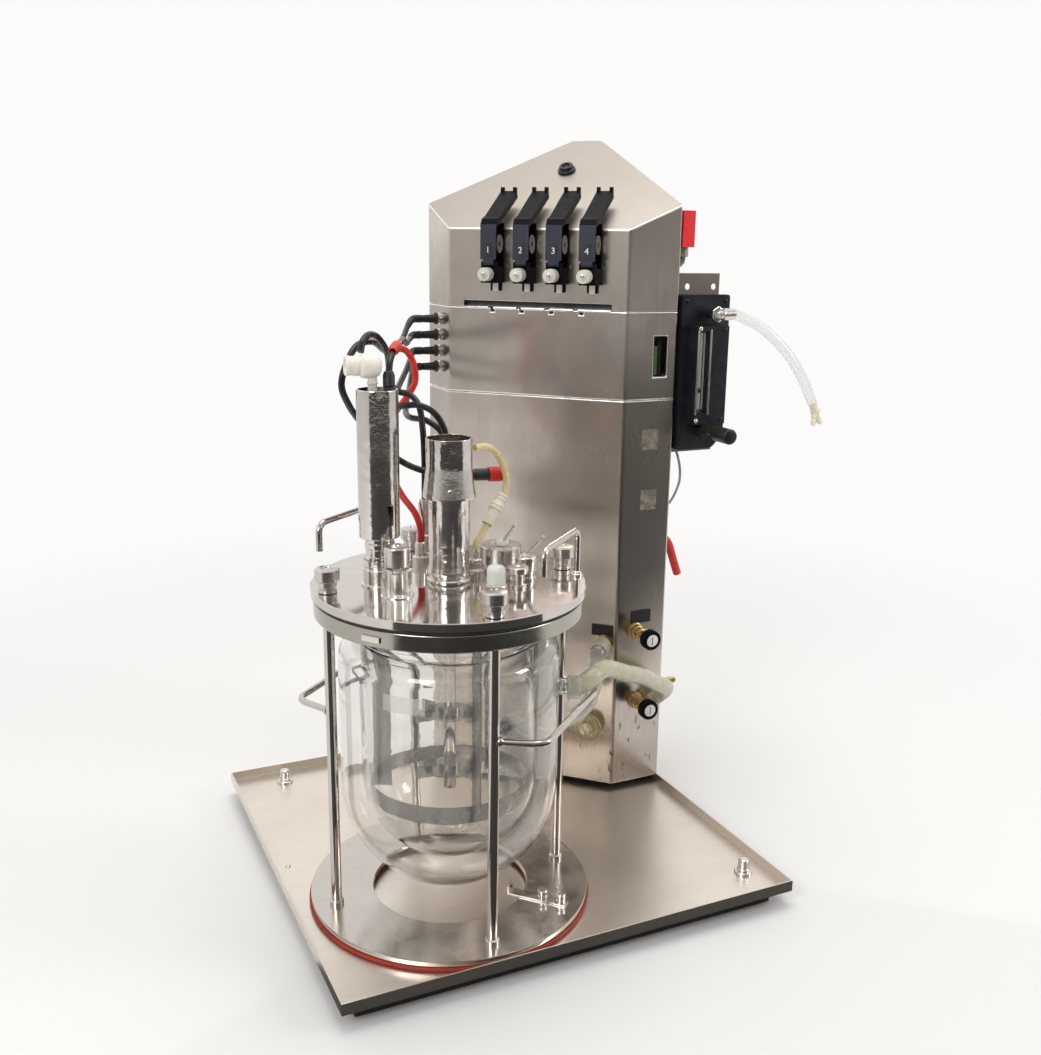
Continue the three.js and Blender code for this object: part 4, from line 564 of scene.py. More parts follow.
cable_routes = {
    "cable_1": [
        (1.5, 199, 540), (-7, 198.6, 539.8), (-20, 180, 534), (-32, 158, 526), (-50, 125, 518),
        (-73, 82, 516), (-97, 30, 523), (-123, -15, 535), (-145, -40, 533), (-158, -52, 518),
        (-162, -52, 502), (-152, -40, 482), (-136, -24, 463), (-118, -20, 441), (-97, -25, 425),
        (-86, -36, 420), (-65, -50, 415), (-41, -57, 416),
    ],
    "cable_2": [
        (1.5, 199, 522.5), (-7, 198.6, 522.3), (-20, 174, 520.5), (-33, 145, 519.5),
        (-49, 104, 522), (-67, 58, 528), (-84, 12, 534), (-100, -25, 534), (-114, -50, 530),
        (-123, -66, 522), (-126.5, -73, 511),
    ],
    "cable_3": [
        (1.5, 199, 505), (-7, 198.6, 504.8), (-20, 172, 500), (-43, 125, 490), (-66, 80, 481),
        (-84, 40, 475), (-93, 12, 473), (-91, -8, 475), (-82, -20, 477), (-71, -29, 472),
        (-62, -35, 457), (-59, -36, 430), (-59, -36, 388.2),
    ],
    "cable_4": [
        (1.5, 199, 487.5), (-7, 198.6, 487.3), (-20, 170, 482), (-38, 128, 471), (-56, 85, 464),
        (-70, 45, 459), (-73, 20, 459), (-66, -4, 459), (-57, -15, 450), (-52.6, -19.5, 430),
        (-52, -20, 388.2),
    ],
    "cable_5": [
        (-150, -70, 531.4), (-147, -66, 539), (-138, -54, 544), (-125, -38, 541),
        (-111, -22, 526), (-103, -4, 508), (-96, 10, 492), (-87, 16, 485), (-79, 10, 483),
        (-74.5, -3, 474), (-74.3, -13, 452), (-74.5, -17.2, 425), (-74.5, -17.2, 388.2),
    ],
}

# The push-on connector at the end of the first cable has a black body and a red ribbed cap.
connector_at = on_tray(-41, -57, 416)
connector_black = part("connector_body", [
    (3.1, -9), (4.0, -9), (4.6, -3), (5.0, 0), (5.6, 0.6), (5.6, 13), (4.6, 13.6), (3.0, 13.6),
], moulded_plastic("black_connector_plastic", (0.02, 0.02, 0.022)), 32, connector_at,
    (26, 0, -1), edge=0.3)
cap_rings = [(3.0, 13.6), (6.0, 13.7), (6.6, 14.4)]
for rib in range(5):
    base = 15.2 + rib * 2.4
    cap_rings += [(6.9, base), (6.9, base + 1.3), (6.3, base + 1.5), (6.3, base + 2.1)]
cap_rings += [(6.8, 27.4), (6.4, 28.0), (3.5, 28.0)]
connector_cap = part(
    "connector_red_cap", cap_rings, red_rubber, 32, connector_at, (26, 0, -1),
)

# The second cable ends in a straight black plug in the condenser's open end.
plug_at = on_tray(-126.5, -73, 511)
probe_plug = part("probe_plug", [
    (3.1, -4), (4.2, -3.4), (5.2, 0), (5.2, 9), (4.4, 9.5), (4.4, 11.5), (5.2, 12), (5.2, 19), (3.4, 20),
], connector_black.data.materials[0], 32, plug_at, (-0.6, -2.2, -16), edge=0.3)
boot_start = on_tray(-103, -30, 533.6)
red_boot = part("red_cable_boot", [
    (3.05, 0), (3.6, 0), (4.2, 3), (4.2, 7), (4.9, 7.5), (4.9, 22), (4.4, 23), (4.0, 30), (3.05, 31),
], red_rubber, 28, boot_start, (-14, -26, -4), closed=True)

for name, corners in cable_routes.items():
    cable_name = name.replace("cable_", "signal_cable_")
    cable = hose(cable_name, name, corners, 3, black_sheath)
    far_end = "connector" if name == "cable_1" else "object"

red_lead_route = [
    (-84, 22, 525), (-74, 30, 521), (-66, 33, 508), (-65, 33, 492), (-73, 33, 478),
    (-88, 28, 462), (-100, 14, 440), (-102, 2, 414), (-95, -10, 392), (-86, -22, 376),
    (-82.5, -27, 362), (-82.5, -27.2, 350.2),
]
red_lead = hose("red_sensor_lead", "red_lead", red_lead_route, 3.2, red_rubber)

# ---- tray and base frame -------------------------------------------------------------------
# A shallow pan of folded stainless sheet with welded corners, on a black frame set back under
# it. Two bright studs stand up through the pan to locate it.


def sheet_steel(name, stretch, light, dark, low, high, stain, grain=0.45):
    """Brushed stainless sheet: fine marks along one direction, with dull stained patches."""
    made = new_material(name, light, low, 1.0)
    spot = place_on(made)
    fine = noise(made, stretch, vector=spot)
    cloud = noise(made, stain, vector=spot)
    half = add_node(made, "ShaderNodeMath", {0: cloud, 1: 1 - grain}, operation="MULTIPLY")
    both = add_node(made, "ShaderNodeMath", {
        0: fine, 1: grain, 2: half.outputs[0],
    }, operation="MULTIPLY_ADD")
    tint(made, both.outputs[0], light, dark)
    roughen(made, add_node(made, "ShaderNodeMapRange", {
        "To Min": low, "To Max": high, "Value": both.outputs[0],
    }).outputs["Result"])
    emboss(made, fine, 0.012)
    return made


tray_steel = sheet_steel(
    "tray_sheet", (14, 900, 900), (0.86, 0.79, 0.71), (0.70, 0.635, 0.565), 0.26, 0.44, 7,
)
pick()
bpy.ops.mesh.primitive_cube_add(size=1, location=on_tray(0, 0, 21.75))
tray = bpy.context.object
tray.name = "drip_tray"
tray.scale = (0.45, 0.45, 0.0115)
bpy.ops.object.transform_apply(location=True, rotation=True, scale=True)
select_faces(tray, lambda c, n: n.z > 0.9)
bpy.ops.mesh.inset(thickness=1.5 * MM)
bpy.ops.mesh.extrude_region_move(TRANSFORM_OT_translate={"value": (0, 0, -10 * MM)})
bpy.ops.object.mode_set(mode="OBJECT")
tray.data.materials.append(tray_steel)
bevel(tray, 0.6)
fit(tray, node="tray")

# Black paint for the base frame, the tower's foot and the grub screws, and painted shade in the transfer
# pipes' open ends.
black_paint = moulded_plastic("black_paint", (0.017, 0.017, 0.018), 0.42, 0.62, 0.05)
inner_corner, outer_corner = 176 * 2 ** 0.5, 210 * 2 ** 0.5
part("base_frame_rails", [
    (inner_corner, 0), (outer_corner, 0), (outer_corner, 15.7), (inner_corner, 15.7),
], black_paint, 4, on_tray(0, 0, 0), spin=math.pi / 4, edge=1.0, closed=True,
    node="base_frame")


def bright_steel(name, color, low, high, lathe):
    """Polished stainless with faint turning lines, handling marks and soft haze."""
    made = new_material(name, color, low, 1.0)
    spot = place_on(made)
    roughen(made, noise(made, 35, low, high, spot))
    tint(made, noise(made, 60, vector=spot), color, tuple(c * 0.93 for c in color))
    if lathe:
        emboss(made, noise(made, (2, 1600, 1), vector=place_on(made, "UV")), lathe)
    return made


turned_steel = bright_steel("turned_steel", (0.74, 0.695, 0.655), 0.10, 0.24, 0.02)
for number, (x, y) in enumerate([(-169, 198), (200, -179)], 1):
    part(f"tray_stud_{number}", [
        (9.0, 17.6), (9.0, 19.6), (8.2, 20.2), (6.3, 20.2), (6.3, 22), (5.5, 22.4), (5.5, 29.5), (5.2, 31),
        (4.2, 32), (2.6, 32.5), (0.6, 32.5),
    ], turned_steel, 32, on_tray(x, y, 0), edge=0.25)
part("tray_rivet", [
    (2.6, 17.4), (2.6, 17.9), (1.8, 18.5), (0.5, 18.6),
], turned_steel, 20, on_tray(-210, 15, 0), soft=60)

# ---- silicone mat --------------------------------------------------------------------------
# A red silicone ring under the vessel stand that keeps it from sliding on the tray.

# Its red is darker than the hoses' red, partly its own colour and partly painted shade from the base ring
# above.
mat_rubber_painted_shade = worn(
    new_material("red_mat_silicone", (0.34, 0.03, 0.014), 0.5),
    tones=(30, (0.38, 0.035, 0.016), (0.24, 0.02, 0.012)), wear=(90, 0.42, 0.66),
    grain=((700, 700, 700), 0.08),
)
mat_low, mat_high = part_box("silicone_mat")
axis_place = Vector(((mat_low.x + mat_high.x) / 2, (mat_low.y + mat_high.y) / 2, 0))
part("red_silicone_mat", [
    (75.4, 17.8), (133.0, 17.8), (133.5, 18.4), (133.5, 20.6), (133.0, 21.2), (75.4, 21.2), (75, 20.6),
    (75, 18.4),
], mat_rubber_painted_shade, 128, axis_place, soft=50, closed=True, node="silicone_mat")

# ---- vessel stand --------------------------------------------------------------------------
# A polished base ring with four rods screwed into it, two bent carry handles welded between
# the rods, and a latch strip with two thumb screws on the ring.


def on_vessel(x, y, z):
    """A place from the vessel's axis and the bench, in millimetres."""
    return axis_place + Vector((x, y, z)) * MM


def ring_place(radius, degrees, z):
    """A place at a radius and an angle about the vessel's axis."""
    a = math.radians(degrees)
    return on_vessel(radius * math.cos(a), radius * math.sin(a), z)


def bent_rod(name, corners, radius, bend, material, detail=5):
    """A polished round rod bent at its corners."""
    line = [corners[0]]
    for before, corner, after in zip(corners, corners[1:], corners[2:]):
        into, out = (corner - before).normalized(), (after - corner).normalized()
        angle = into.angle(out)
        inward = (out - into * math.cos(angle)).normalized()
        start = corner - into * bend * MM * math.tan(angle / 2)
        centre = start + inward * bend * MM
        for k in range(11):
            a = angle * k / 10
            line.append(centre + (into * math.sin(a) - inward * math.cos(a)) * bend * MM)
    line.append(corners[-1])
    rod = drawn(name, line, radius, material, detail)
    pick(rod)
    bpy.ops.object.convert(target="MESH")
    smooth(rod, 50)
    return fit(rod)


rod_steel = bright_steel("rod_steel", (0.60, 0.555, 0.52), 0.06, 0.18, 0)
ring_steel = bright_steel("ring_steel", (0.62, 0.58, 0.54), 0.10, 0.26, 0.012)
part("base_ring", [
    (73.3, 21.5), (131.9, 21.5), (131.9, 26.5), (73.3, 26.5),
], ring_steel, 160, axis_place, edge=0.7, closed=True, node="vessel_stand")

ROD_CIRCLE, rod_angles = 111, [178, 268, 357, 88]
for number, angle in enumerate(rod_angles, 1):
    part(f"stand_rod_{number}", [
        (6.5, 26.4), (6.5, 30.0), (6.0, 30.6), (4.8, 31.0), (4.8, 316.0), (6.2, 316.2), (6.2, 319.0),
        (3.8, 319.1), (3.8, 330), (3.8, 344.5),
    ], rod_steel, 40, ring_place(ROD_CIRCLE, angle, 0), edge=0.35)

weld_rings = [(1.0, -1.2), (4.2, -0.6), (4.6, 0.6), (3.8, 2.4), (3.1, 3.6)]
for number, (first, last) in enumerate([(268, 357), (88, 178)], 1):
    ends = [ring_place(ROD_CIRCLE, first, 217.5), ring_place(ROD_CIRCLE, last, 217.5)]
    bends = [ring_place(138.4, first + 16, 217.5), ring_place(138.4, last - 16, 217.5)]
    bent_rod(f"carry_handle_{number}", [ends[0], *bends, ends[1]], 3, 15, rod_steel)
    for side, (end, bend) in enumerate(zip(ends, bends), 1):
        weld_place = end + (bend - end).normalized() * 4.6 * MM
        part(f"handle_weld_{number}_{side}", weld_rings, rod_steel, 24, weld_place, bend - end, soft=60)


def slab(name, low, high, material, width=0.4, place=(0, 0, 0), turn=0.0):
    """A block between two corners in millimetres, with rounded edges, turned about Z and placed."""
    pick()
    bpy.ops.mesh.primitive_cube_add(size=1)
    piece = bpy.context.object
    piece.name = name
    size = [(b - a) * MM for a, b in zip(low, high)]
    middle = Vector([(a + b) / 2 * MM for a, b in zip(low, high)])
    piece.data.transform(Matrix.Translation(middle) @ Matrix.Diagonal((*size, 1)))
    piece.data.transform(Matrix.Translation(place) @ Matrix.Rotation(turn, 4, "Z"))
    piece.data.materials.append(material)
    if width:
        bevel(piece, width)
    return piece


def block(name, low, high, material, width, place, turn=0.0, body="frame", slot="polished_steel"):
    """A slab in its place, fixed to its body."""
    return fit(slab(name, low, high, material, width, place, turn), body)


latch_turn = math.radians(-46)
block("latch_strip", (61, -5, 26.4), (119, 5, 28.5), rod_steel, 0.5, axis_place, latch_turn)
block("latch_hook", (61, -5, 27.5), (63, 5, 35.5), rod_steel, 0.6, axis_place, latch_turn)
for number, reach in enumerate((113, 95), 1):
    part(f"latch_screw_{number}", [
        (4.5, 28.4), (4.5, 30.2), (3.4, 30.6), (3.4, 32.2), (4.5, 32.6), (4.5, 35.8), (3.9, 36.5),
        (0.6, 36.5),
    ], turned_steel, 32, ring_place(reach, -46, 0), edge=0.2)

# ---- thumb nuts ----------------------------------------------------------------------------
# Knurled stainless nuts on the rods' studs that clamp the head plate down. The knurl is cut as
# fine straight grooves round the wide cap, above a waisted neck with two turned rings.

nut_steel = bright_steel("nut_steel", (0.66, 0.62, 0.59), 0.18, 0.32, 0.02)
for number, angle in enumerate(rod_angles, 1):
    part(f"knurled_nut_{number}", [
        (7.6, 328.0), (8.5, 328.3), (8.5, 331.6), (7.7, 332.0), (7.7, 333.2), (8.5, 333.6), (8.5, 337.6),
        (8.0, 338.2), (10.4, 338.6), (11.3, 339.4), (11.3, 348.4), (10.5, 349.4), (9.6, 349.7),
        (4.2, 349.7), (4.0, 349.2), (0.8, 349.2),
    ], nut_steel, 96, ring_place(ROD_CIRCLE, angle, 0),
        knurl=(11.3, 339.4, 348.4, 0.45), soft=25, node=f"thumb_nut_{number}")

# ---- glass vessel --------------------------------------------------------------------------
# A jacketed borosilicate vessel: an inner round-bottomed cup inside an outer one, fused at the
# shoulder under a thick ground flange, with two hose nozzles blown into the jacket.


def arc(centre_r, centre_z, radius, first, last, steps):
    """Rings on an arc, from one angle to another."""
    rings = []
    for k in range(steps + 1):
        a = math.radians(first + (last - first) * k / steps)
        rings.append((centre_r + radius * math.cos(a), centre_z + radius * math.sin(a)))
    return rings


glass = new_material("borosilicate_glass", (0.97, 0.965, 0.95), 0.0)
shader_of(glass).inputs["Transmission Weight"].default_value = 1.0
shader_of(glass).inputs["IOR"].default_value = 1.47
roughen(glass, noise(glass, 12, 0.0, 0.035))
emboss(glass, noise(glass, 14), 0.25, 0.5)

jacket_wall = turned("jacket_glass", [
    *arc(0, 137.5, 101, -89.4, 0, 22),
    *arc(83, 259.5, 18, 0, 90, 8),
    (82.6, 281), (84, 286), (90, 294), (98, 301.5), (103.0, 304.5), (103.5, 305.5), (103.5, 315.9),
    (102.9, 316.5), (77.6, 316.5), (77.0, 315.9), (77, 142.5),
    *arc(0, 142.5, 77, 0, -89.4, 22)[1:],
], glass, 128)
jacket_space = turned("jacket_space", [
    *arc(0, 137.5, 98, -89.4, 0, 22),
    *arc(83, 259.5, 15, 0, 90, 6)[1:],
    (80.6, 274.5), (80.0, 273.5), (80, 142.5),
    *arc(0, 142.5, 80, 0, -89.4, 22)[1:],
], glass, 128, inside=True)
pick(jacket_wall, jacket_space)
bpy.ops.object.join()
aim(jacket_wall, axis_place)
smooth(jacket_wall, 50)
fit(jacket_wall, node="glass_vessel")

nozzle_glass = worn(clear_material("nozzle_glass", (0.96, 0.97, 0.95), 0.03, 1.0), wear=(60, 0.0, 0.12))
hose_cap = worn(clear_material("clear_screw_cap", (0.93, 0.92, 0.86), 0.12, 0.75), wear=(90, 0.08, 0.25))
for number, (angle, z) in enumerate([(-24, 225), (35, 155)], 1):
    a = math.radians(angle)
    outward = Vector((math.cos(a), math.sin(a), 0))
    part(f"jacket_nozzle_{number}", [
        (4.5, 100.4), (8.6, 100.2), (7.4, 102.5), (7.0, 104), (7.0, 108), (4.5, 108),
    ], nozzle_glass, 40, on_vessel(0, 0, z), outward, soft=50, closed=True)
    part(f"nozzle_cap_{number}", [
        (8.8, 109), (10.6, 109.2), (11.0, 110), (11.0, 112), (10.4, 112.4), (10.4, 113.4), (11.0, 113.8),
        (11.0, 116), (10.4, 116.4), (10.4, 117.4), (11.0, 117.8), (11.0, 120), (10.2, 121), (8.8, 121.2),
    ], hose_cap, 48, on_vessel(0, 0, z), outward, closed=True)

# A strip of clear tape on the jacket's shoulder, left from a label.
tape = worn(
    new_material("clear_tape", (0.90, 0.90, 0.88), 0.35), wear=(200, 0.2, 0.55),
    grain=((400, 400, 120), 0.2),
)
shader_of(tape).inputs["Transmission Weight"].default_value = 0.6
shader_of(tape).inputs["Alpha"].default_value = 0.5
pick()
bpy.ops.mesh.primitive_grid_add(x_subdivisions=24, y_subdivisions=8, size=1)
tape_patch = bpy.context.object
tape_patch.name = "tape_patch"
for vertex in tape_patch.data.vertices:
    along, up = vertex.co.x, vertex.co.y
    a = math.radians(226 + along * 22)
    edge = 0.6 * math.sin(along * 40) * MM if abs(up) > 0.49 else 0
    vertex.co = on_vessel(101.35 * math.cos(a), 101.35 * math.sin(a), 246 + up * 15) + Vector((0, 0, edge))
tape_patch.data.materials.append(tape)
smooth(tape_patch, 60)
fit(tape_patch)

# ---- clamp ring and gasket -----------------------------------------------------------------
# A split steel ring grips the flange from below, and a black rubber gasket lies between the
# flange and the head plate. A spring bar crosses the ring's gap.

# The ring's steel is darker than the other polished steel: a painted dark reflection.
part("flange_clamp_ring", [
    (101.9, 301), (119.4, 301), (121, 302.4), (121, 315.6), (120.2, 316.4), (104.4, 316.4), (104.4, 305.4),
], bright_steel("clamp_steel_painted_reflection", (0.42, 0.40, 0.355), 0.12, 0.28, 0.02), 160, axis_place,
    edge=0.5, closed=True, node="clamp_ring")
bar_turn = math.radians(217)
block(
    "clamp_gap_bar", (117.5, -9, 306), (122.6, 9, 311.5), turned_steel, 0.8, axis_place, bar_turn,
)
gasket_rubber = worn(
    new_material("black_gasket_rubber", (0.014, 0.014, 0.014), 0.6),
    tones=(50, (0.013, 0.013, 0.013), (0.03, 0.03, 0.03)), wear=(120, 0.5, 0.75),
)
part("flange_gasket", [
    (78.5, 316.8), (121, 316.8), (121, 319.2), (78.5, 319.2),
], gasket_rubber, 128, axis_place, edge=0.4, closed=True, node="vessel_gasket")

# ---- head plate ----------------------------------------------------------------------------
# A thick polished lid with turned bosses welded in for the probes, and two bent transfer pipes.
# It mirrors what stands on it, with fine circular marks from its polishing.

PLATE_TOP = 327.7
plate_steel = bright_steel("mirror_plate_steel", (0.62, 0.58, 0.55), 0.05, 0.14, 0.004)
part("head_plate_disc", [
    (122.5, 319.5), (123.3, 320.3), (123.3, 326.9), (122.5, 327.7),
], plate_steel, 192, axis_place, soft=30, node="head_plate")


def boss(name, x, y, rings, material, segments=40, edge=0.3):
    """A turned piece on the head plate. Its rings are above the plate's face."""
    rings = [(r, PLATE_TOP + z) for r, z in rings]
    return part(name, rings, material, segments, on_vessel(x, y, 0), edge=edge)


boss("condenser_boss", -61, 11, [
    (17.0, -0.2), (17.0, 1.6), (15.0, 2.2), (15.0, 15), (14.2, 15.6), (14.2, 17.4), (15.0, 18), (15.0, 24),
    (12.0, 24),
], turned_steel, 56)
boss("addition_foot", -58, -26, [(14.4, -0.2), (14.4, 1.0), (13.6, 1.4), (13.2, 1.4)], turned_steel, 48)
for number, (x, y) in enumerate([(17.5, 49.2), (24.5, 65.2), (2, 68)], 1):
    boss(f"probe_head_{number}", x, y, [
        (9.2, -0.2), (9.2, 9), (8.4, 9.8), (6.6, 10), (6.6, 20), (8.2, 20.4), (8.2, 26), (7.4, 26.6),
        (5.2, 27), (5.2, 44), (6.0, 44.4), (6.0, 56), (5.0, 60), (3.4, 60),
    ], turned_steel, 40)
boss(
    "lead_socket", -6, 58, [(8.0, -0.2), (8.0, 8), (5.5, 8.6), (5.5, 20), (4.4, 22), (3.4, 22)],
    turned_steel, 36,
)

frosted = worn(
    clear_material("frosted_cap_plastic", (0.90, 0.90, 0.88), 0.4, 0.4),
    wear=(80, 0.3, 0.5), grain=((900, 900, 900), 0.05),
)
boss("multi_port_body", 56, 14, [
    (19.5, -0.2), (19.5, 3.2), (17.6, 3.8), (17.6, 6.8), (19.5, 7.4), (19.5, 22.8), (18.6, 24.0),
    (10.0, 24.0), (10.0, 23.4), (0.8, 23.4),
], nut_steel, 96, 0)
boss("plug_port", 47.6, -44.3, [
    (7.6, -0.2), (7.6, 2.4), (5.5, 3.0), (5.5, 12.6), (8.6, 13.0), (9.3, 13.6), (9.3, 18.2), (8.6, 19.0),
    (3.0, 19.0), (2.6, 18.2), (0.6, 18.2),
], nut_steel, 64)
boss("feed_port", 27.6, 4, [
    (8.4, -0.2), (8.4, 6), (6.0, 6.6), (6.0, 15.4), (5.2, 16), (2.6, 16.2), (2.6, 19), (3.1, 19.4),
    (2.6, 21.6), (3.1, 22), (2.4, 24.5), (1.2, 24.5),
], turned_steel, 36)

for number, (x, y, z, lean) in enumerate([
    (57.5, 12.6, 22, (5.5, -16, 21)), (66.3, -21, 19, (8.7, -17, 20)),
], 1):
    low, bend_at = [on_vessel(x, y, PLATE_TOP + height) for height in (z, z + 3)]
    bent_rod(f"needle_tube_{number}", [low, bend_at, bend_at + Vector(lean) * MM], 1.6, 3, rod_steel, 3)
boss("needle_port", 65.2, -22, [
    (9.8, -0.2), (9.8, 2.4), (8.6, 3.0), (8.6, 8.0), (9.8, 8.6), (9.8, 20.2), (9.0, 21), (5.2, 21),
    (5.0, 20.2), (0.6, 20.2),
], turned_steel, 56)
boss("needle_plug", 66.3, -21, [(3.6, 19.9), (3.6, 22.2), (3.0, 22.8), (1.8, 22.8)], frosted, 28)
boss("capped_port", 23, -52, [
    (9.8, -0.2), (9.8, 7.2), (9.2, 8.0), (8.0, 8.2),
], turned_steel, 56)
boss("frosted_cap", 23, -52, [
    (7.4, 8.0), (8.2, 8.4), (8.2, 19.6), (7.7, 22.2), (6.2, 23.7), (3.8, 24.1), (0.6, 24.2),
], frosted, 56, 0)
boss("needle_cap", 57.5, 12.6, [(6.2, 23.8), (6.2, 27.2), (5.4, 28), (1.8, 28)], frosted, 32)

for number, (foot, elbow, height, drop) in enumerate([
    ((113, -31), (50.5, -88.8), 43.8, 22),
    ((-28.3, 113.5), (-104, 53), 49, 25),
], 1):
    top = PLATE_TOP + height
    bent_rod(f"transfer_pipe_{number}", [
        on_vessel(*foot, PLATE_TOP - 1), on_vessel(*foot, top),
        on_vessel(*elbow, top), on_vessel(*elbow, top - drop),
    ], 3, 9, rod_steel)
    boss(
        f"pipe_collar_{number}", *foot,
        [(5.6, -0.2), (5.6, 1.8), (4.5, 2.4), (4.5, 3.6), (3.4, 4.4), (3.0, 4.4)], turned_steel, 32,
    )
    # A thin black disc in each pipe's end stands for its bore: painted shade.
    part(f"pipe_mouth_painted_shade_{number}", [
        (2.0, 0), (2.0, 0.1), (0.5, 0.1),
    ], black_paint, 24, on_vessel(*elbow, top - drop - 0.12), soft=40)

# ---- stirrer, turbines and baffles ---------------------------------------------------------
# A polished shaft carries two six-bladed disc turbines, locked with grub screws. Three flat
# baffle strips hang from the head plate, tied by a band round their lower ends.

part("stirrer_rod", [
    (3.6, 127.5), (4.9, 127.7), (5.5, 128.6), (5.5, 373.0), (5.0, 373.7),
], rod_steel, 40, axis_place, soft=40, body="stirrer", node="stirrer_shaft")
# A darker copy of the polished steel for the turbines inside the glass: painted shade.
turbine_steel_painted_shade = bright_steel("turbine_steel_painted_shade", (0.34, 0.31, 0.29), 0.12, 0.26, 0.02)
for word, z in (("lower", 148.5), ("upper", 206.5)):
    hub = turned(f"turbine_hub_{word}", [
        (5.7, z - 7), (9.9, z - 7), (10.5, z - 6.4), (10.5, z + 6.4), (9.9, z + 7), (5.7, z + 7),
    ], turbine_steel_painted_shade, 48, closed=True)
    disc = turned(
        f"turbine_disc_{word}", [(10.3, z - 0.8), (24, z - 0.8), (24, z + 0.8), (10.3, z + 0.8)],
        turbine_steel_painted_shade, 72, closed=True,
    )
    blades = [slab(
        f"turbine_blade_{word}_{k + 1}", (17, -0.75, z - 6.5), (32, 0.75, z + 6.5), turbine_steel_painted_shade, 0.3,
        turn=math.radians(60 * k),
    ) for k in range(6)]
    grub = turned(f"grub_screw_{word}", [
        (1.8, 0), (1.8, 0.7), (1.1, 0.7), (1.0, 0.2), (0.3, 0.2),
    ], black_paint, 20)
    aim(grub, Vector((0, -10.1, z + 3.4)) * MM, (0, -1, 0))
    pick(hub, disc, grub, *blades)
    bpy.ops.object.join()
    aim(hub, axis_place)
    smooth(hub, 35)
    fit(hub, "stirrer", node=f"impeller_{word}")

# A still darker copy for the baffles and their band inside the glass: painted shade.
baffle_band_steel_painted_shade = bright_steel("baffle_painted_shade_steel", (0.22, 0.205, 0.195), 0.16, 0.32, 0.02)
part("baffle_band", [
    (71.9, 125.5), (73.5, 125.5), (73.5, 141.5), (71.9, 141.5),
], baffle_band_steel_painted_shade, 128, axis_place, edge=(0.3, 1), closed=True, node="baffle_cage")
for number, angle in enumerate((150, 30, 270), 1):
    block(
        f"baffle_strip_{number}", (55, -0.8, 125.5), (72.2, 0.8, 319.2), baffle_band_steel_painted_shade, 0.3, axis_place,
        math.radians(angle),
    )

# ---- drive hub and sleeve ------------------------------------------------------------------
# The drive hub bolts to the head plate and carries the shaft's bearings. A flared polished
# sleeve sits on its spigot, open at the top for the motor's coupling.

mirror_steel = bright_steel("mirror_steel", (0.76, 0.715, 0.68), 0.03, 0.2, 0)
emboss(mirror_steel, noise(mirror_steel, 80), 0.2)
part("drive_hub_body", [
    (20.0, 328.0), (20.0, 330.2), (19.3, 331.0), (17.4, 331.4), (17.4, 333.0), (19.2, 334.5), (19.6, 337.5),
    (18.9, 341.0), (18.3, 343.0), (18.3, 403.2), (17.9, 404.0), (15.8, 404.2), (15.8, 431.0), (15.2, 431.7),
    (10.8, 431.7), (10.8, 430.7), (6.0, 430.7), (6.0, 431.5), (0.8, 431.5),
], mirror_steel, 96, axis_place, edge=(0.3, 2, 35), node="drive_hub")
part("flared_sleeve", [
    (16.1, 404.3), (23.5, 404.3), (23.5, 406.4), (22.6, 412), (21.6, 420), (20.7, 429), (20.5, 432.8),
    (20.5, 456.9), (18.7, 456.9), (18.7, 432.8), (16.1, 428.8),
], mirror_steel, 128, axis_place, edge=(0.35, 2, 35), closed=True, node="drive_sleeve")
for number, angle in enumerate((250, 130, 10), 1):
    a = math.radians(angle)
    part(f"sleeve_screw_{number}", [
        (1.9, -0.6), (1.9, 0.8), (1.3, 1.4), (0.4, 1.5),
    ], turned_steel, 24, ring_place(22.4, angle, 413), (math.cos(a), math.sin(a), 0.1), soft=50)

# ---- condenser -----------------------------------------------------------------------------
# The exhaust condenser: a tall wide tube over a narrow neck that screws into its boss, open at
# the top, with two windows cut near its floor.

tube = turned("condenser_tube", [
    (10.0, 352.0), (13.7, 352.0), (13.7, 354.2), (12.5, 354.8), (12.5, 361), (13.2, 361.6), (13.2, 366),
    (12.5, 366.6),
    (12.5, 371.2), (17.4, 371.4), (18.0, 372.0), (18.0, 499.4), (17.6, 500.3), (16.4, 500.3), (16.4, 377.7),
    (2.0, 377.7),
], mirror_steel, 112)


def cut_from(piece, *cutters):
    """Cuts other pieces' shapes out of a piece, and removes them."""
    for cutter in cutters:
        pick(piece)
        cutting = piece.modifiers.new("cut", "BOOLEAN")
        cutting.operation = "DIFFERENCE"
        cutting.object = cutter
        cutting.solver = "EXACT"
        bpy.ops.object.modifier_apply(modifier="cut")
        bpy.data.objects.remove(cutter)


cut_from(tube, *[slab(
    "window_cutter", (13.5, -3, 383.7), (19, 3, 401.7), mirror_steel, 0.6, turn=math.radians(degrees),
) for degrees in (-75, -15)])
condenser_place = on_vessel(-61, 11, 0)
aim(tube, condenser_place)
bevel(tube, 0.25, 1, 40)
fit(tube, node="condenser")

# ---- addition port glass and cap -----------------------------------------------------------
# A small thick glass ring on the plate, closed by a knurled steel cap.

addition_place = on_vessel(-58, -26, 0)
part("addition_glass_ring", [
    (6.3, 328.0), (10.6, 328.0), (12.0, 330.5), (12.6, 334.2), (12.6, 352.2), (12.2, 352.7), (6.3, 352.7),
], nozzle_glass, 64, addition_place,
    edge=0.4, closed=True, node="addition_glass")
part("addition_stem", [
    (6.0, 327.8), (6.0, 347.7), (5.0, 348), (0.8, 348),
], turned_steel, 40, addition_place, soft=40)
part("addition_knurled_cap", [
    (10.0, 353.0), (11.4, 354.6), (11.4, 369.8), (10.7, 370.9), (9.8, 371.2), (3.6, 371.2), (3.2, 370.4),
    (0.8, 370.4),
], nut_steel, 96, addition_place, knurl=(11.4, 354.6, 369.8, 0.4), soft=25, node="addition_cap")

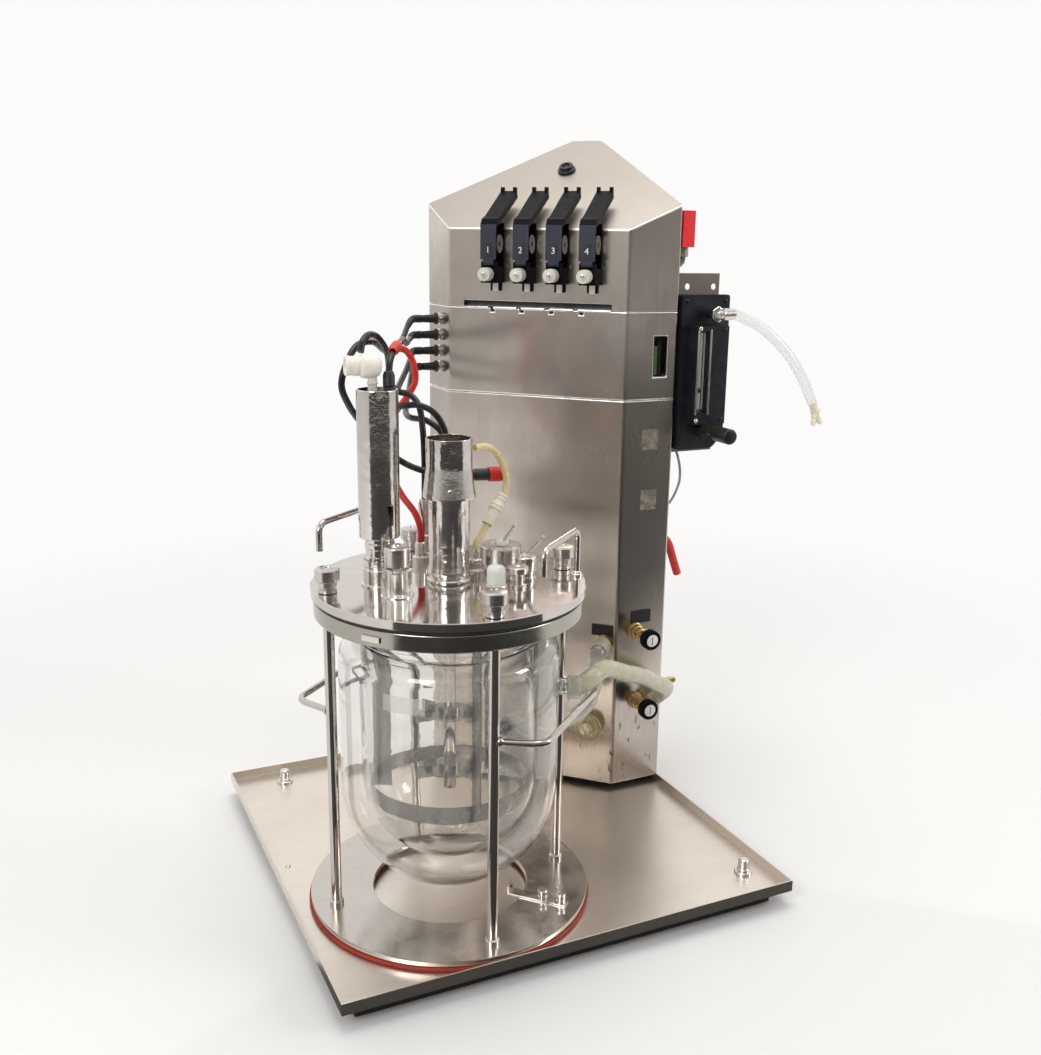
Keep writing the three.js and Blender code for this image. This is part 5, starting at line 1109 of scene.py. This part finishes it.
# ---- tower cases ---------------------------------------------------------------------------
# Folded stainless housings stacked on a black foot: a tall lower case, a middle one with the
# cable glands and card slot, and a top one with a sloping roof. Their front is cut at 45 degrees.

tower_steel = sheet_steel(
    "tower_sheet", (850, 850, 10), (0.68, 0.615, 0.56), (0.42, 0.37, 0.325), 0.15, 0.3, 6, 0.16,
)
roof_steel = sheet_steel(
    "roof_sheet", (700, 700, 700), (0.41, 0.365, 0.325), (0.34, 0.30, 0.26), 0.36, 0.48, 10,
)
# A near-white copy of polished steel: a painted highlight for the tower's folds and the slot's lips.
painted_highlight_fold = bright_steel("fold_painted_highlight", (0.95, 0.94, 0.92), 0.22, 0.4, 0)


def between(material, value, low, high):
    """Stretches the part of a value between two limits to 0 and 1."""
    limits = {"From Min": low, "From Max": high, "Value": value}
    return add_node(material, "ShaderNodeMapRange", limits).outputs["Result"]


# Dark drip marks low down, where spills have dried, laid over the finish.
drips = between(tower_steel, noise(tower_steel, (210, 210, 55)), 0.80, 0.9)
height = add_node(tower_steel, "ShaderNodeSeparateXYZ", {0: place_on(tower_steel)}).outputs["Z"]
low_down = between(tower_steel, height, 0.135, 0.09)
spots = add_node(tower_steel, "ShaderNodeMath", {0: drips, 1: low_down}, operation="MULTIPLY")
tower_color = shader_of(tower_steel).inputs["Base Color"]
stained = add_node(tower_steel, "ShaderNodeMix", {
    0: spots.outputs[0], 6: tower_color.links[0].from_socket, 7: (0.20, 0.155, 0.115, 1),
}, data_type="RGBA")
tower_steel.node_tree.links.new(stained.outputs[2], tower_color)

COS45 = math.sqrt(0.5)
FRONT_CORNER, BACK_CORNER = 98.15, 218.5


def case(name, low, high, material, inset=0.0, fold=2.5):
    """A block with the tower's six-sided plan between two heights, with folded upright edges.
    Its second material is the painted highlight that the folds' rounding can take.
    """
    pick()
    bpy.ops.mesh.primitive_cube_add(size=1)
    piece = bpy.context.object
    piece.name = name
    corner_a = on_tray(24.3 + inset, 30 + inset, low)
    corner_b = on_tray(228 - inset, 234 - inset, high)
    size = corner_b - corner_a
    piece.data.transform(Matrix.Translation((corner_a + corner_b) / 2) @ Matrix.Diagonal((*size, 1)))
    bpy.ops.object.mode_set(mode="EDIT")
    for corner, keep_far in ((FRONT_CORNER + inset * COS45, True), (BACK_CORNER - inset * COS45, False)):
        bpy.ops.mesh.select_all(action="SELECT")
        bpy.ops.mesh.bisect(
            plane_co=on_tray(corner, corner, 0), plane_no=(COS45, COS45, 0), use_fill=True,
            clear_inner=keep_far, clear_outer=not keep_far,
        )
    bpy.ops.mesh.select_mode(type="EDGE")
    bpy.ops.mesh.select_all(action="DESELECT")
    bpy.ops.object.mode_set(mode="OBJECT")
    for edge in piece.data.edges:
        a, b = (piece.data.vertices[v].co for v in edge.vertices)
        edge.select = abs(a.z - b.z) > 1 * MM
    bpy.ops.object.mode_set(mode="EDIT")
    bpy.ops.mesh.bevel(offset=fold * MM, segments=4, affect="EDGES")
    bpy.ops.object.mode_set(mode="OBJECT")
    piece.data.materials.append(material)
    piece.data.materials.append(painted_highlight_fold)
    return piece


def on_face(along, out, z):
    """A place on the slanted front, along it and out of it, in millimetres."""
    return on_tray(FRONT_CORNER + (along - out) * COS45, FRONT_CORNER - (along + out) * COS45, z)


FACE = on_face(0, 0, 0), -math.pi / 4
face_out = Vector((-COS45, -COS45, 0))

foot = case("tower_foot", 17.8, 23.2, black_paint, 12)
bevel(foot, 0.5)
fit(foot, node="tower_plinth")

lower_case = case("lower_case", 23.5, 462.9, tower_steel)
bevel(lower_case, 1.2, 3, 50, 1)
fit(lower_case, node="tower_lower_case")

# Black plastic for the card's socket, and painted shade behind the notches, along the slot's top and at the
# card slot's back.
black_plastic_and_painted_shade = moulded_plastic("black_plastic_and_painted_shade", (0.008, 0.008, 0.009), 0.6, 0.8, 0.02)
middle_case = case("middle_case", 463.2, 555.3, tower_steel)
cut_from(
    middle_case,
    slab("slot_cutter", (200, 29, 487.5), (216, 42, 529.5), black_paint, 0, on_tray(0, 0, 0)),
)
# A black slab behind each notch is painted shade.
for number in range(4):
    along = -86.6 + 33.18 * (number + 1)
    notch = slab("notch_cutter", (along - 2, -1.2, 550.8), (along + 2, 3, 556.5), black_paint, 0, *FACE)
    cut_from(middle_case, notch)
    block(
        f"notch_painted_shade_{number + 1}", (along - 1.9, 1.2, 551), (along + 1.9, 2.8, 555), black_plastic_and_painted_shade, 0.1,
        *FACE, slot="black_plastic",
    )
bevel(middle_case, 1.5, 3, 50, 1)
fit(middle_case, node="tower_middle_case")

top_case = case("top_case", 555.6, 800, tower_steel)
bpy.ops.object.mode_set(mode="EDIT")
bpy.ops.mesh.select_all(action="SELECT")
slope = 0.5935
roof_normal = Vector((-slope * COS45, -slope * COS45, 1)).normalized()
bpy.ops.mesh.bisect(
    plane_co=on_face(0, 0, 636.2), plane_no=roof_normal,
    use_fill=True, clear_outer=True,
)
bpy.ops.object.mode_set(mode="OBJECT")
hatch = slab("hatch_cutter", (-86.6, -1, 554), (79.3, 10, 562.2), black_paint, 0.4, *FACE)
cut_from(top_case, hatch)
bevel(top_case, 0.8, 3, 50, 1)
fit(top_case, node="tower_top_case")

roof = case("roof_sheet_metal", 500, 800, roof_steel, -0.25)
bpy.ops.object.mode_set(mode="EDIT")
for height, outer in ((637.4, True), (635.6, False)):
    bpy.ops.mesh.select_all(action="SELECT")
    bpy.ops.mesh.bisect(
        plane_co=on_face(0, 0, height), plane_no=roof_normal,
        use_fill=True, clear_outer=outer, clear_inner=not outer,
    )
bpy.ops.object.mode_set(mode="OBJECT")
bevel(roof, 0.85, 3, 50, 1)
fit(roof)

# The slot under the pumps has painted shade inside: a darkened copy of the sheet steel at its back and a
# black strip along its top. Its lips are painted highlights, and it ends in a slant.
painted_shade_sheet = sheet_steel("painted_shade_sheet", (850, 850, 10), (0.17, 0.16, 0.15), (0.10, 0.095, 0.09), 0.4, 0.6, 9)
block(
    "hatch_back", (-86.3, 7.4, 556.5), (79, 9.8, 561.8), painted_shade_sheet, 0.2, *FACE, slot="brushed_steel_sheet",
)
# The lips under the slot carry the painted highlight.
for number, (low_x, high_x) in enumerate([
    (-86, -57.7), (-52.9, -26), (-21.2, 5.7), (10.5, 37.4), (42.2, 78.6),
], 1):
    block(
        f"slot_lip_{number}", (low_x, -0.8, 553.2), (high_x, 1.6, 556.2), painted_highlight_fold, 0.9, *FACE,
        slot="brushed_steel_sheet",
    )
# A black strip along the slot's top edge: a painted shadow.
block("hatch_painted_shadow", (-86.4, 0.6, 560.6), (79.1, 3.2, 561.9), black_plastic_and_painted_shade, 0.2, *FACE, slot="black_plastic")
card = worn(
    new_material("green_board", (0.06, 0.16, 0.04), 0.35),
    tones=(400, (0.09, 0.22, 0.06), (0.03, 0.09, 0.025)), wear=(200, 0.25, 0.5),
)
block(
    "interface_card", (200.5, 37, 488.2), (208, 38.4, 519), card, 0.15, on_tray(0, 0, 0),
    slot="black_plastic",
)
for number, (low_x, low_z, wide, tall) in enumerate([
    (201.5, 489, 3, 5), (203, 498, 4.6, 4), (201.4, 507, 3.4, 7),
], 1):
    block(
        f"card_part_{number}", (low_x, 35.8, low_z), (low_x + wide, 37.1, low_z + tall), card, 0.3,
        on_tray(0, 0, 0), slot="black_plastic",
    )
socket = block(
    "card_socket", (208.4, 36.5, 490), (212, 40.6, 523), black_plastic_and_painted_shade, 0.4, on_tray(0, 0, 0),
    slot="black_plastic",
)
# A black slab at the back of the card slot: painted shade.
block(
    "card_slot_painted_shade", (200.2, 40.8, 487.8), (215.8, 41.9, 529.2), black_plastic_and_painted_shade, 0.1, on_tray(0, 0, 0),
    slot="black_plastic",
)

# Old label marks: two patches of dried glue on the right-hand side.
glue = worn(
    new_material("dried_glue", (0.28, 0.24, 0.19), 0.6),
    tones=(220, (0.30, 0.265, 0.215), (0.15, 0.128, 0.105)),
)
glue_edge = noise(glue, 120, 0.35, 1.1)
glue.node_tree.links.new(glue_edge, shader_of(glue).inputs["Alpha"])
emboss(glue, noise(glue, (300, 300, 300)), 0.05)
for number, (x, z) in enumerate([(199, 420.5), (200, 354.5)], 1):
    block(
        f"glue_patch_{number}", (x - 10, 29.75, z - 11), (x + 10, 29.98, z + 11), glue, 0.05,
        on_tray(0, 0, 0), slot="clear_hose",
    )

# Bare black label plates by the hose nozzles and the valve.
label_plastic = moulded_plastic("label_plastic", (0.014, 0.014, 0.015), 0.3, 0.45, 0.03)
block(
    "nozzle_label", (68, -0.9, 201), (92.7, -0.05, 214.2), label_plastic, 0.25, *FACE, slot="black_plastic",
)
block(
    "valve_label", (184, 29.1, 214.5), (209, 29.95, 229.5), label_plastic, 0.25, on_tray(0, 0, 0),
    slot="black_plastic",
)

plug_place = on_face(-7.6, -107.2, 637.4 + slope * 107.2)
part("roof_grommet", [
    (10, 0.3), (10, 2.4), (9.2, 3.3), (7.8, 3.6), (7.8, 6.4), (7.2, 7.2), (5.0, 7.2), (4.5, 4.2),
    (2.2, 4.2), (2.0, 6.0), (0.6, 6.0),
], label_plastic, 56, plug_place, roof_normal, edge=0.25, node="roof_plug")
for number in range(3):
    spin = math.radians(40 + 120 * number)
    web = slab(f"grommet_web_{number + 1}", (2, -0.7, 4), (7.4, 0.7, 6.8), label_plastic, 0.2, turn=spin)
    aim(web, plug_place, roof_normal)
    fit(web)

# ---- cable glands --------------------------------------------------------------------------
# Four panel glands on the left-hand side: a plain steel ferrule, a black ring nut and a tapered
# rubber boot that follows the cable out.

gland_rubber = moulded_plastic("gland_rubber", (0.016, 0.016, 0.018), 0.4, 0.6, 0.05)
for number in range(4):
    z = 540 - 17.5 * number
    base = on_tray(24.3, 199, z)
    part(f"gland_ferrule_{number + 1}", [
        (6.6, -0.6), (6.6, 0.8), (6.2, 1.2), (5.2, 1.3), (5.2, 4.0), (3.0, 4.4),
    ], turned_steel, 36, base, (-1, 0, 0), soft=40)
    part(f"gland_ring_{number + 1}", [
        (5.0, 3.8), (6.5, 4.0), (6.5, 5.8), (6.0, 6.3), (4.7, 6.6), (4.4, 12), (3.9, 21.6), (3.1, 22.2),
    ], gland_rubber, 36, base, (-1, 0, 0))
    sheathed = [on_tray(*place) for place in smooth_line(cable_routes[f"cable_{number + 1}"])[:17]]
    boot = drawn(f"gland_boot_{number + 1}", sheathed, 1, gland_rubber, 5)
    for k, point in enumerate(boot.data.splines[0].points):
        point.radius = 4.4 - 1.2 * k / (len(sheathed) - 1)
    fit(boot)

# ---- pump heads ----------------------------------------------------------------------------
# Four peristaltic heads: a black housing with a cream knob and white tab, a three-roller rotor on
# a fixed axle, and a hinged navy strap that runs on as the black lever over the roof.


def refined(node, name, material, width=0.3):
    """A cleaned and rounded copy of a CAD node."""
    piece = bpy.data.objects.new(name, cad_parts[node].data.copy())
    bpy.context.scene.collection.objects.link(piece)
    piece.data.materials.clear()
    piece.data.materials.append(material)
    pick(piece)
    bpy.ops.object.mode_set(mode="EDIT")
    bpy.ops.mesh.select_all(action="SELECT")
    bpy.ops.mesh.remove_doubles(threshold=2e-6)
    bpy.ops.mesh.dissolve_limited(angle_limit=math.radians(1.5))
    bpy.ops.object.mode_set(mode="OBJECT")
    bevel(piece, width, 2, 32)
    return piece


def paint_faces(piece, material, chosen):
    """Gives another finish to the faces that a test picks."""
    piece.data.materials.append(material)
    select_faces(piece, chosen)
    piece.active_material_index = len(piece.data.materials) - 1
    bpy.ops.object.material_slot_assign()
    bpy.ops.object.mode_set(mode="OBJECT")


def depth_of(place):
    """How far a place stands out of the slanted front, in millimetres."""
    return (place - on_face(0, 0, 0)).dot(face_out) / MM


pump_black = moulded_plastic("pump_black", (0.005, 0.005, 0.006), 0.34, 0.5, 0.03)
shader_of(pump_black).inputs["Specular IOR Level"].default_value = 0.07
navy = moulded_plastic("pump_navy", (0.013, 0.016, 0.042), 0.28, 0.45, 0.04)
knob_cream = moulded_plastic("knob_cream", (0.72, 0.69, 0.62), 0.35, 0.5, 0.04)
tab_white = moulded_plastic("tab_white", (0.93, 0.925, 0.90), 0.4, 0.55, 0.03)
label_white = worn(
    new_material("label_white", (0.85, 0.85, 0.83), 0.5),
    tones=(300, (0.88, 0.88, 0.86), (0.74, 0.74, 0.72)),
)
roller_steel = bright_steel("roller_steel", (0.78, 0.74, 0.70), 0.1, 0.22, 0.01)


def numeral(name, text, place):
    """A raised numeral that reads square on to the slanted front."""
    pick()
    bpy.ops.object.text_add()
    piece = bpy.context.object
    piece.name = name
    piece.data.body = text
    piece.data.size = 9 * MM
    piece.data.extrude = 0.12 * MM
    piece.data.align_x = "CENTER"
    piece.data.align_y = "CENTER"
    bpy.ops.object.convert(target="MESH")
    piece.data.materials.append(label_white)
    turn = Matrix(((COS45, 0, -COS45), (-COS45, 0, -COS45), (0, 1, 0))).to_4x4()
    piece.data.transform(Matrix.Translation(place) @ turn)
    return piece


for number in range(1, 5):
    along = -49 + 35.7 * (number - 1)
    housing = refined(f"pump_{number}_body", f"pump_housing_{number}", pump_black)
    paint_faces(housing, knob_cream, lambda c, n: depth_of(c) > 23.4 and c.z < 0.6)
    paint_faces(housing, tab_white, lambda c, n: c.z < 0.5812)
    fit(housing, node=f"pump_{number}_body")
    part(f"knob_centre_{number}", [
        (6.2, 36.2), (6.2, 37.0), (5.6, 37.5), (3.6, 37.6), (3.3, 39.4), (2.7, 39.9), (0.5, 39.9),
    ], knob_cream, 40, on_face(along, 0, 590.5), face_out, soft=40)
    part(f"knob_screw_{number}", [
        (2.0, 39.6), (2.0, 40.5), (1.5, 41.0), (0.4, 41.0),
    ], roller_steel, 28, on_face(along, 0, 590.5), face_out, soft=40)
    for side in (-1, 1):
        block(
            f"tab_clip_{number}_{'left' if side < 0 else 'right'}", (along + side * 4.4 - 1.0, -3.6, 573),
            (along + side * 4.4 + 1.0, -0.4, 581.3), pump_black, 0.3, *FACE, slot="black_plastic",
        )
    rotor = refined(f"pump_{number}_rotor", f"pump_rollers_{number}", roller_steel, 0.2)
    fit(rotor, f"rotor_{number}", f"pump_{number}_rotor")
    strap = refined(f"pump_{number}_cover", f"pump_strap_{number}", navy)
    paint_faces(strap, pump_black, lambda c, n: c.z > 0.641 or depth_of(c) < 21 or n.dot(face_out) < 0.6)
    fit(strap, f"cover_{number}", f"pump_{number}_cover")
    plate_low, plate_high = (along - 3.6, -25.6, 607), (along + 3.6, -24.9, 623)
    block(
        f"pump_label_{number}", plate_low, plate_high, label_plastic, 0.2, *FACE, body=f"cover_{number}",
        slot="black_plastic",
    )
    fit(
        numeral(f"pump_number_{number}", str(number), on_face(along, 25.68, 615)),
        f"cover_{number}",
    )
    for side in (-1, 1):
        low_x, high_x = sorted((side * 5.4, side * 8.5))
        block(
            f"lever_ear_{number}_{'left' if side < 0 else 'right'}", (along + low_x, 31.5, 674.2),
            (along + high_x, 38.2, 680.4), pump_black, 0.7, *FACE, body=f"cover_{number}",
            slot="black_plastic",
        )
        part(f"lever_screw_{number}_{'left' if side < 0 else 'right'}", [
            (1.5, 0), (1.5, 0.5), (1.0, 0.9), (0.3, 0.9),
        ], roller_steel, 20, on_face(along + side * 6.6, -35, 680.2), soft=45, body=f"cover_{number}")
    for side, (away, z) in enumerate([(20.2, 634.5), (9, 639), (19, 606.5)], 1):
        part(f"pump_screw_{number}_{side}", [
            (1.7, -0.4), (1.7, 0.6), (1.2, 1.1), (0.4, 1.1),
        ], roller_steel, 20, on_face(along - 8.8, away - 4, z), (-COS45, COS45, 0), soft=45)

# ---- valves and nozzles --------------------------------------------------------------------
# Brass valves with black knobs and white faces, a brass hose nozzle on the front, and a long
# brass barb on the right-hand side.

brass = bright_steel("aged_brass", (0.58, 0.46, 0.27), 0.18, 0.38, 0.02)
tint(brass, noise(brass, 120), (0.66, 0.47, 0.22), (0.42, 0.29, 0.13))
for word, x, z, front in (("upper", 190, 206, -8), ("lower", 194, 122, -3)):
    part(f"valve_body_{word}", [
        (9.6, -0.4), (9.6, 2.0), (8.0, 2.4), (8.0, 7.4), (6.4, 8.0), (6.4, 13.4), (4.6, 14.0),
        (4.6, 29.5 - front - 13), (3.0, 30 - front - 13), (3.0, 30 - front - 4.2), (2.6, 30 - front - 4),
    ], brass, 36, on_tray(x, 30, z), (0, -1, 0), edge=(0.3, 1))
    part(f"valve_port_{word}", [
        (4.0, 0), (4.0, 5), (4.8, 5.4), (4.2, 9.6), (2.6, 10), (0.6, 10),
    ], brass, 32, on_tray(x, 21, z), (1, 0, 0))
    length = 12.7
    part(f"valve_handle_{word}", [
        (3.1, 0), (7.0, 0), (9.4, 1.6), (11, 4), (11, length - 1.5), (10.4, length - 0.4), (9.2, length),
        (7.2, length), (6.9, length - 0.8), (3.1, length - 0.8), (3.1, 5),
    ], pump_black, 72, on_tray(x, front + 12.7, z),
        (0, -1, 0), closed=True, body=f"{word}_valve_body", node=f"valve_knob_{word}")
    part(f"valve_face_{word}", [
        (6.9, length - 2.4), (6.9, length - 0.5), (6.5, length - 0.25), (0.5, length - 0.25),
    ], tab_white, 56, on_tray(x, front + 12.7, z),
        (0, -1, 0), soft=40, body=f"{word}_valve_body")
    block(
        f"valve_line_{word}", (x - 0.35, front - 0.12, z - 4.6), (x + 0.35, front + 0.4, z + 4.6),
        label_plastic, 0.1, on_tray(0, 0, 0), body=f"{word}_valve_body", slot="black_plastic",
    )

part("front_hose_nozzle", [
    (9.0, -0.4), (9.0, 2.2), (7.0, 2.8), (7.0, 6.2), (7.6, 6.6), (7.6, 8), (5, 8),
], brass, 40, on_face(83.8, 0, 194), face_out)
rib_rings = [(9.4, 0)]
for rib in range(5):
    base = rib * 3.4
    rib_rings += [(9.9, 1 + base), (9.9, 2.4 + base), (9.2, 2.9 + base), (9.2, 4.0 + base)]
rib_rings += [(8.7, 17.6)]
part("ribbed_hose_end", [
    *rib_rings, (8.7, 0),
], milky_hose, 48, on_tray(151.0, 32.5, 194), (-7, -7, -1.6), soft=30, closed=True)
part("side_hose_barb", [
    (8.2, -0.4), (8.2, 5), (6.5, 5.4), (6.5, 8), (3.4, 8.8), (3.4, 12), (4.3, 17.6), (3.2, 18), (4.3, 27),
    (3.0, 27.4), (3.8, 32), (2.6, 34), (1.4, 34),
], brass, 40, on_tray(228, 55, 127.5), (1, 0, 0), soft=30)
part("red_hose_outlet", [
    (8.0, -0.4), (8.0, 0.2), (7.4, 0.45), (5, 0.45),
], brass, 36, on_tray(228, 50, 303), (1, 0, 0))

# A few turns of thin amber drain tubing hang on a stub at the tower's front.
amber_clear = worn(
    clear_material("amber_clear_tube", (0.985, 0.95, 0.76), 0.08, 0.92),
    wear=(120, 0.03, 0.12),
)
coil_line = []
for k in range(150):
    a = math.tau * k / 44
    r = 12.4 + 1.5 * math.sin(a * 0.37)
    away = 6.2 + 5.6 * k / 149
    coil_line.append(on_face(69 + r * math.cos(a), away, 92.5 + r * math.sin(a)))
drain_coil = drawn("amber_drain_coil", coil_line, 2.6, amber_clear, 5)
fit(drain_coil, node="drain_coil")
part("coil_stub", [
    (8.4, -0.3), (8.4, 2), (7.5, 2.6), (7.5, 16), (6.6, 17), (0.6, 17),
], amber_clear, 40, on_face(69, 0, 92.5), face_out)

# ---- flow meter ----------------------------------------------------------------------------
# A folded steel bracket beside the tower holds a black plate with a glass tube flow meter, its
# outlet elbow and a long ribbed needle-valve knob.

bracket_steel = sheet_steel(
    "bracket_sheet", (900, 900, 20), (0.38, 0.335, 0.30), (0.27, 0.235, 0.205), 0.24, 0.4, 12,
)
bracket = refined("side_bracket", "meter_bracket", bracket_steel, 0.3)
black_screw = bright_steel("black_screw", (0.06, 0.06, 0.065), 0.2, 0.35, 0.01)
fit(bracket, node="side_bracket")
anodised = worn(
    new_material("black_anodised", (0.018, 0.019, 0.026), 0.35, 0.5),
    tones=(40, (0.016, 0.017, 0.024), (0.032, 0.033, 0.042)), wear=(110, 0.26, 0.46),
    grain=((900, 900, 30), 0.01),
)
meter = refined("flow_meter", "flow_meter_body", anodised, 0.35)
paint_faces(
    meter, roller_steel,
    lambda c, n: (c - on_tray(264, 8, 553)).length < 13.2 * MM and c.y < on_tray(0, 24, 0).y,
)
paint_faces(meter, brass, lambda c, n: c.y < on_tray(0, 11.5, 0).y and c.z < 0.4385)
fit(meter, node="flow_meter")
part("meter_outlet_nut", [
    (8.6, -1), (8.6, 3.6), (7.8, 4.2), (5.4, 4.6),
], turned_steel, 6, on_tray(264, 12, 553), (0, -1, 0), edge=0.5)
part("meter_hose_tail", [
    (6.2, 268), (6.6, 268.4), (6.6, 274.0), (6.1, 274.6), (6.1, 282), (5.6, 282.4),
], turned_steel, 36, on_tray(0, 8, 553), (1, 0, 0))
tube_glass = refined("flow_tube", "meter_tube", nozzle_glass, 0.2)
fit(tube_glass, node="flow_tube")
block(
    "meter_scale", (244.3, 21.2, 452), (256.7, 22.6, 533), label_white, 0.1, on_tray(0, 0, 0),
    slot="cream_plastic",
)
for step in range(31):
    z = 458 + step * 2.3
    wide = 2.4 if step % 5 == 0 else 1.4
    block(
        f"scale_tick_{step + 1}", (246, 20.9, z - 0.2), (246 + wide, 21.3, z + 0.2), label_plastic, 0.02,
        on_tray(0, 0, 0), slot="black_plastic",
    )
for word, low_x, high_x in (("left", 241.6, 243.8), ("right", 257.2, 259.4)):
    block(
        f"meter_rail_{word}", (low_x, 11.0, 447), (high_x, 12.6, 537), turned_steel, 0.3, on_tray(0, 0, 0),
        slot="polished_steel",
    )
part("meter_float", [
    (0.4, 470), (1.4, 470.4), (1.45, 474), (1.0, 475), (0.4, 475),
], pump_black, 24, on_tray(250.5, 17.5, 0), soft=50)
for number, (x, y, z) in enumerate([
    (236, 28, 414), (284, 28, 424), (236, 28, 566), (286, 28, 566), (245, 12, 538.2), (276, 12, 537),
    (276, 12, 441), (244, 12, 441),
], 1):
    part(f"meter_screw_{number}", [
        (2.3, -0.3), (2.3, 0.8), (1.7, 1.5), (0.9, 1.6), (0.8, 1.1), (0.3, 1.1),
    ], roller_steel if number in (5, 8) else black_screw, 24, on_tray(x, y, z), (0, -1, 0), soft=45)
knob_black = moulded_plastic("ribbed_knob_black", (0.015, 0.015, 0.017), 0.34, 0.5, 0.05)
part("ribbed_flow_knob", [
    (3.2, 0), (6.8, 0.2), (7.0, 3), (9.0, 4), (9.5, 5.2), (9.5, 28.4), (8.8, 29.6), (7.4, 30), (7.2, 29.5),
    (0.6, 29.5),
], knob_black, 36, on_tray(259, -3, 429.5),
    (0, -1, 0), knurl=(9.5, 5.2, 28.4, 1.3), soft=25, body="flow_knob_body",
    node="flow_knob")
part("flow_knob_end", [
    (6.9, 29.3), (6.9, 29.8), (6.4, 30.05), (0.5, 30.05),
], anodised, 48, on_tray(259, -3, 429.5), (0, -1, 0), soft=40, body="flow_knob_body")

grey_sheath = moulded_plastic("grey_sheath", (0.30, 0.30, 0.30), 0.4, 0.55, 0.03)
grey_route = [
    (243, 47, 405), (246, 46, 396), (248, 44, 384), (247, 42, 370), (241, 39.5, 358), (234, 37.5, 349),
    (228.4, 36.4, 345),
]
grey_cable = hose("grey_meter_cable", None, grey_route, 1.4, grey_sheath, 3)

# ---- relief valve --------------------------------------------------------------------------
# A red-painted valve head on a chrome elbow and a hexagon nut, above the meter's bracket.

red_enamel = worn(
    new_material("red_enamel", (0.78, 0.025, 0.03), 0.32),
    tones=(80, (0.80, 0.03, 0.035), (0.66, 0.02, 0.025)), wear=(160, 0.24, 0.42),
)
shader_of(red_enamel).inputs["Coat Weight"].default_value = 0.3
relief_steel = bright_steel("relief_steel", (0.34, 0.31, 0.29), 0.08, 0.2, 0.01)
relief = refined("relief_valve", "relief_valve_body", relief_steel, 0.5)
paint_faces(relief, red_enamel, lambda c, n: c.z > 0.6208)
fit(relief, node="relief_valve")
part("relief_collar", [
    (6.2, 614), (6.2, 617.5), (6.9, 618), (6.9, 620.6), (5, 621),
], relief_steel, 36, on_tray(238, 45, 0))

# ---- vent elbow ----------------------------------------------------------------------------
# A worn cream elbow with a ribbed body on a neck in the condenser's open end.

vent_plastic = moulded_plastic("aged_vent_plastic", (0.82, 0.78, 0.69), 0.36, 0.55, 0.04)
rim = 500.3
part("vent_neck", [
    (3.2, rim - 14), (4.0, rim - 13.6), (4.0, rim + 4), (4.6, rim + 4.4), (4.6, rim + 6), (4.0, rim + 6.4),
    (4.0, rim + 13),
], vent_plastic, 36, condenser_place + Vector((-4 * MM, 0, 0)))
elbow = part("vent_elbow_body", [
    (0.6, -1.6), (4.5, -1.0), (7.4, 0.6), (9.2, 3.0), (10.2, 6.0), (10.4, 10), (10.2, 14.6), (9.4, 16.4),
    (8.4, 17.2), (8.2, 19), (8.6, 19.4), (8.6, 22.2), (8.2, 22.6), (8.0, 26), (8.6, 26.5), (8.6, 29.2),
    (7.8, 30), (5.6, 30), (5.2, 28), (0.6, 28),
], vent_plastic, 64, condenser_place + Vector((3, 0, rim + 19)) * MM,
    (-1, 0.12, 0.04), node="vent_elbow")
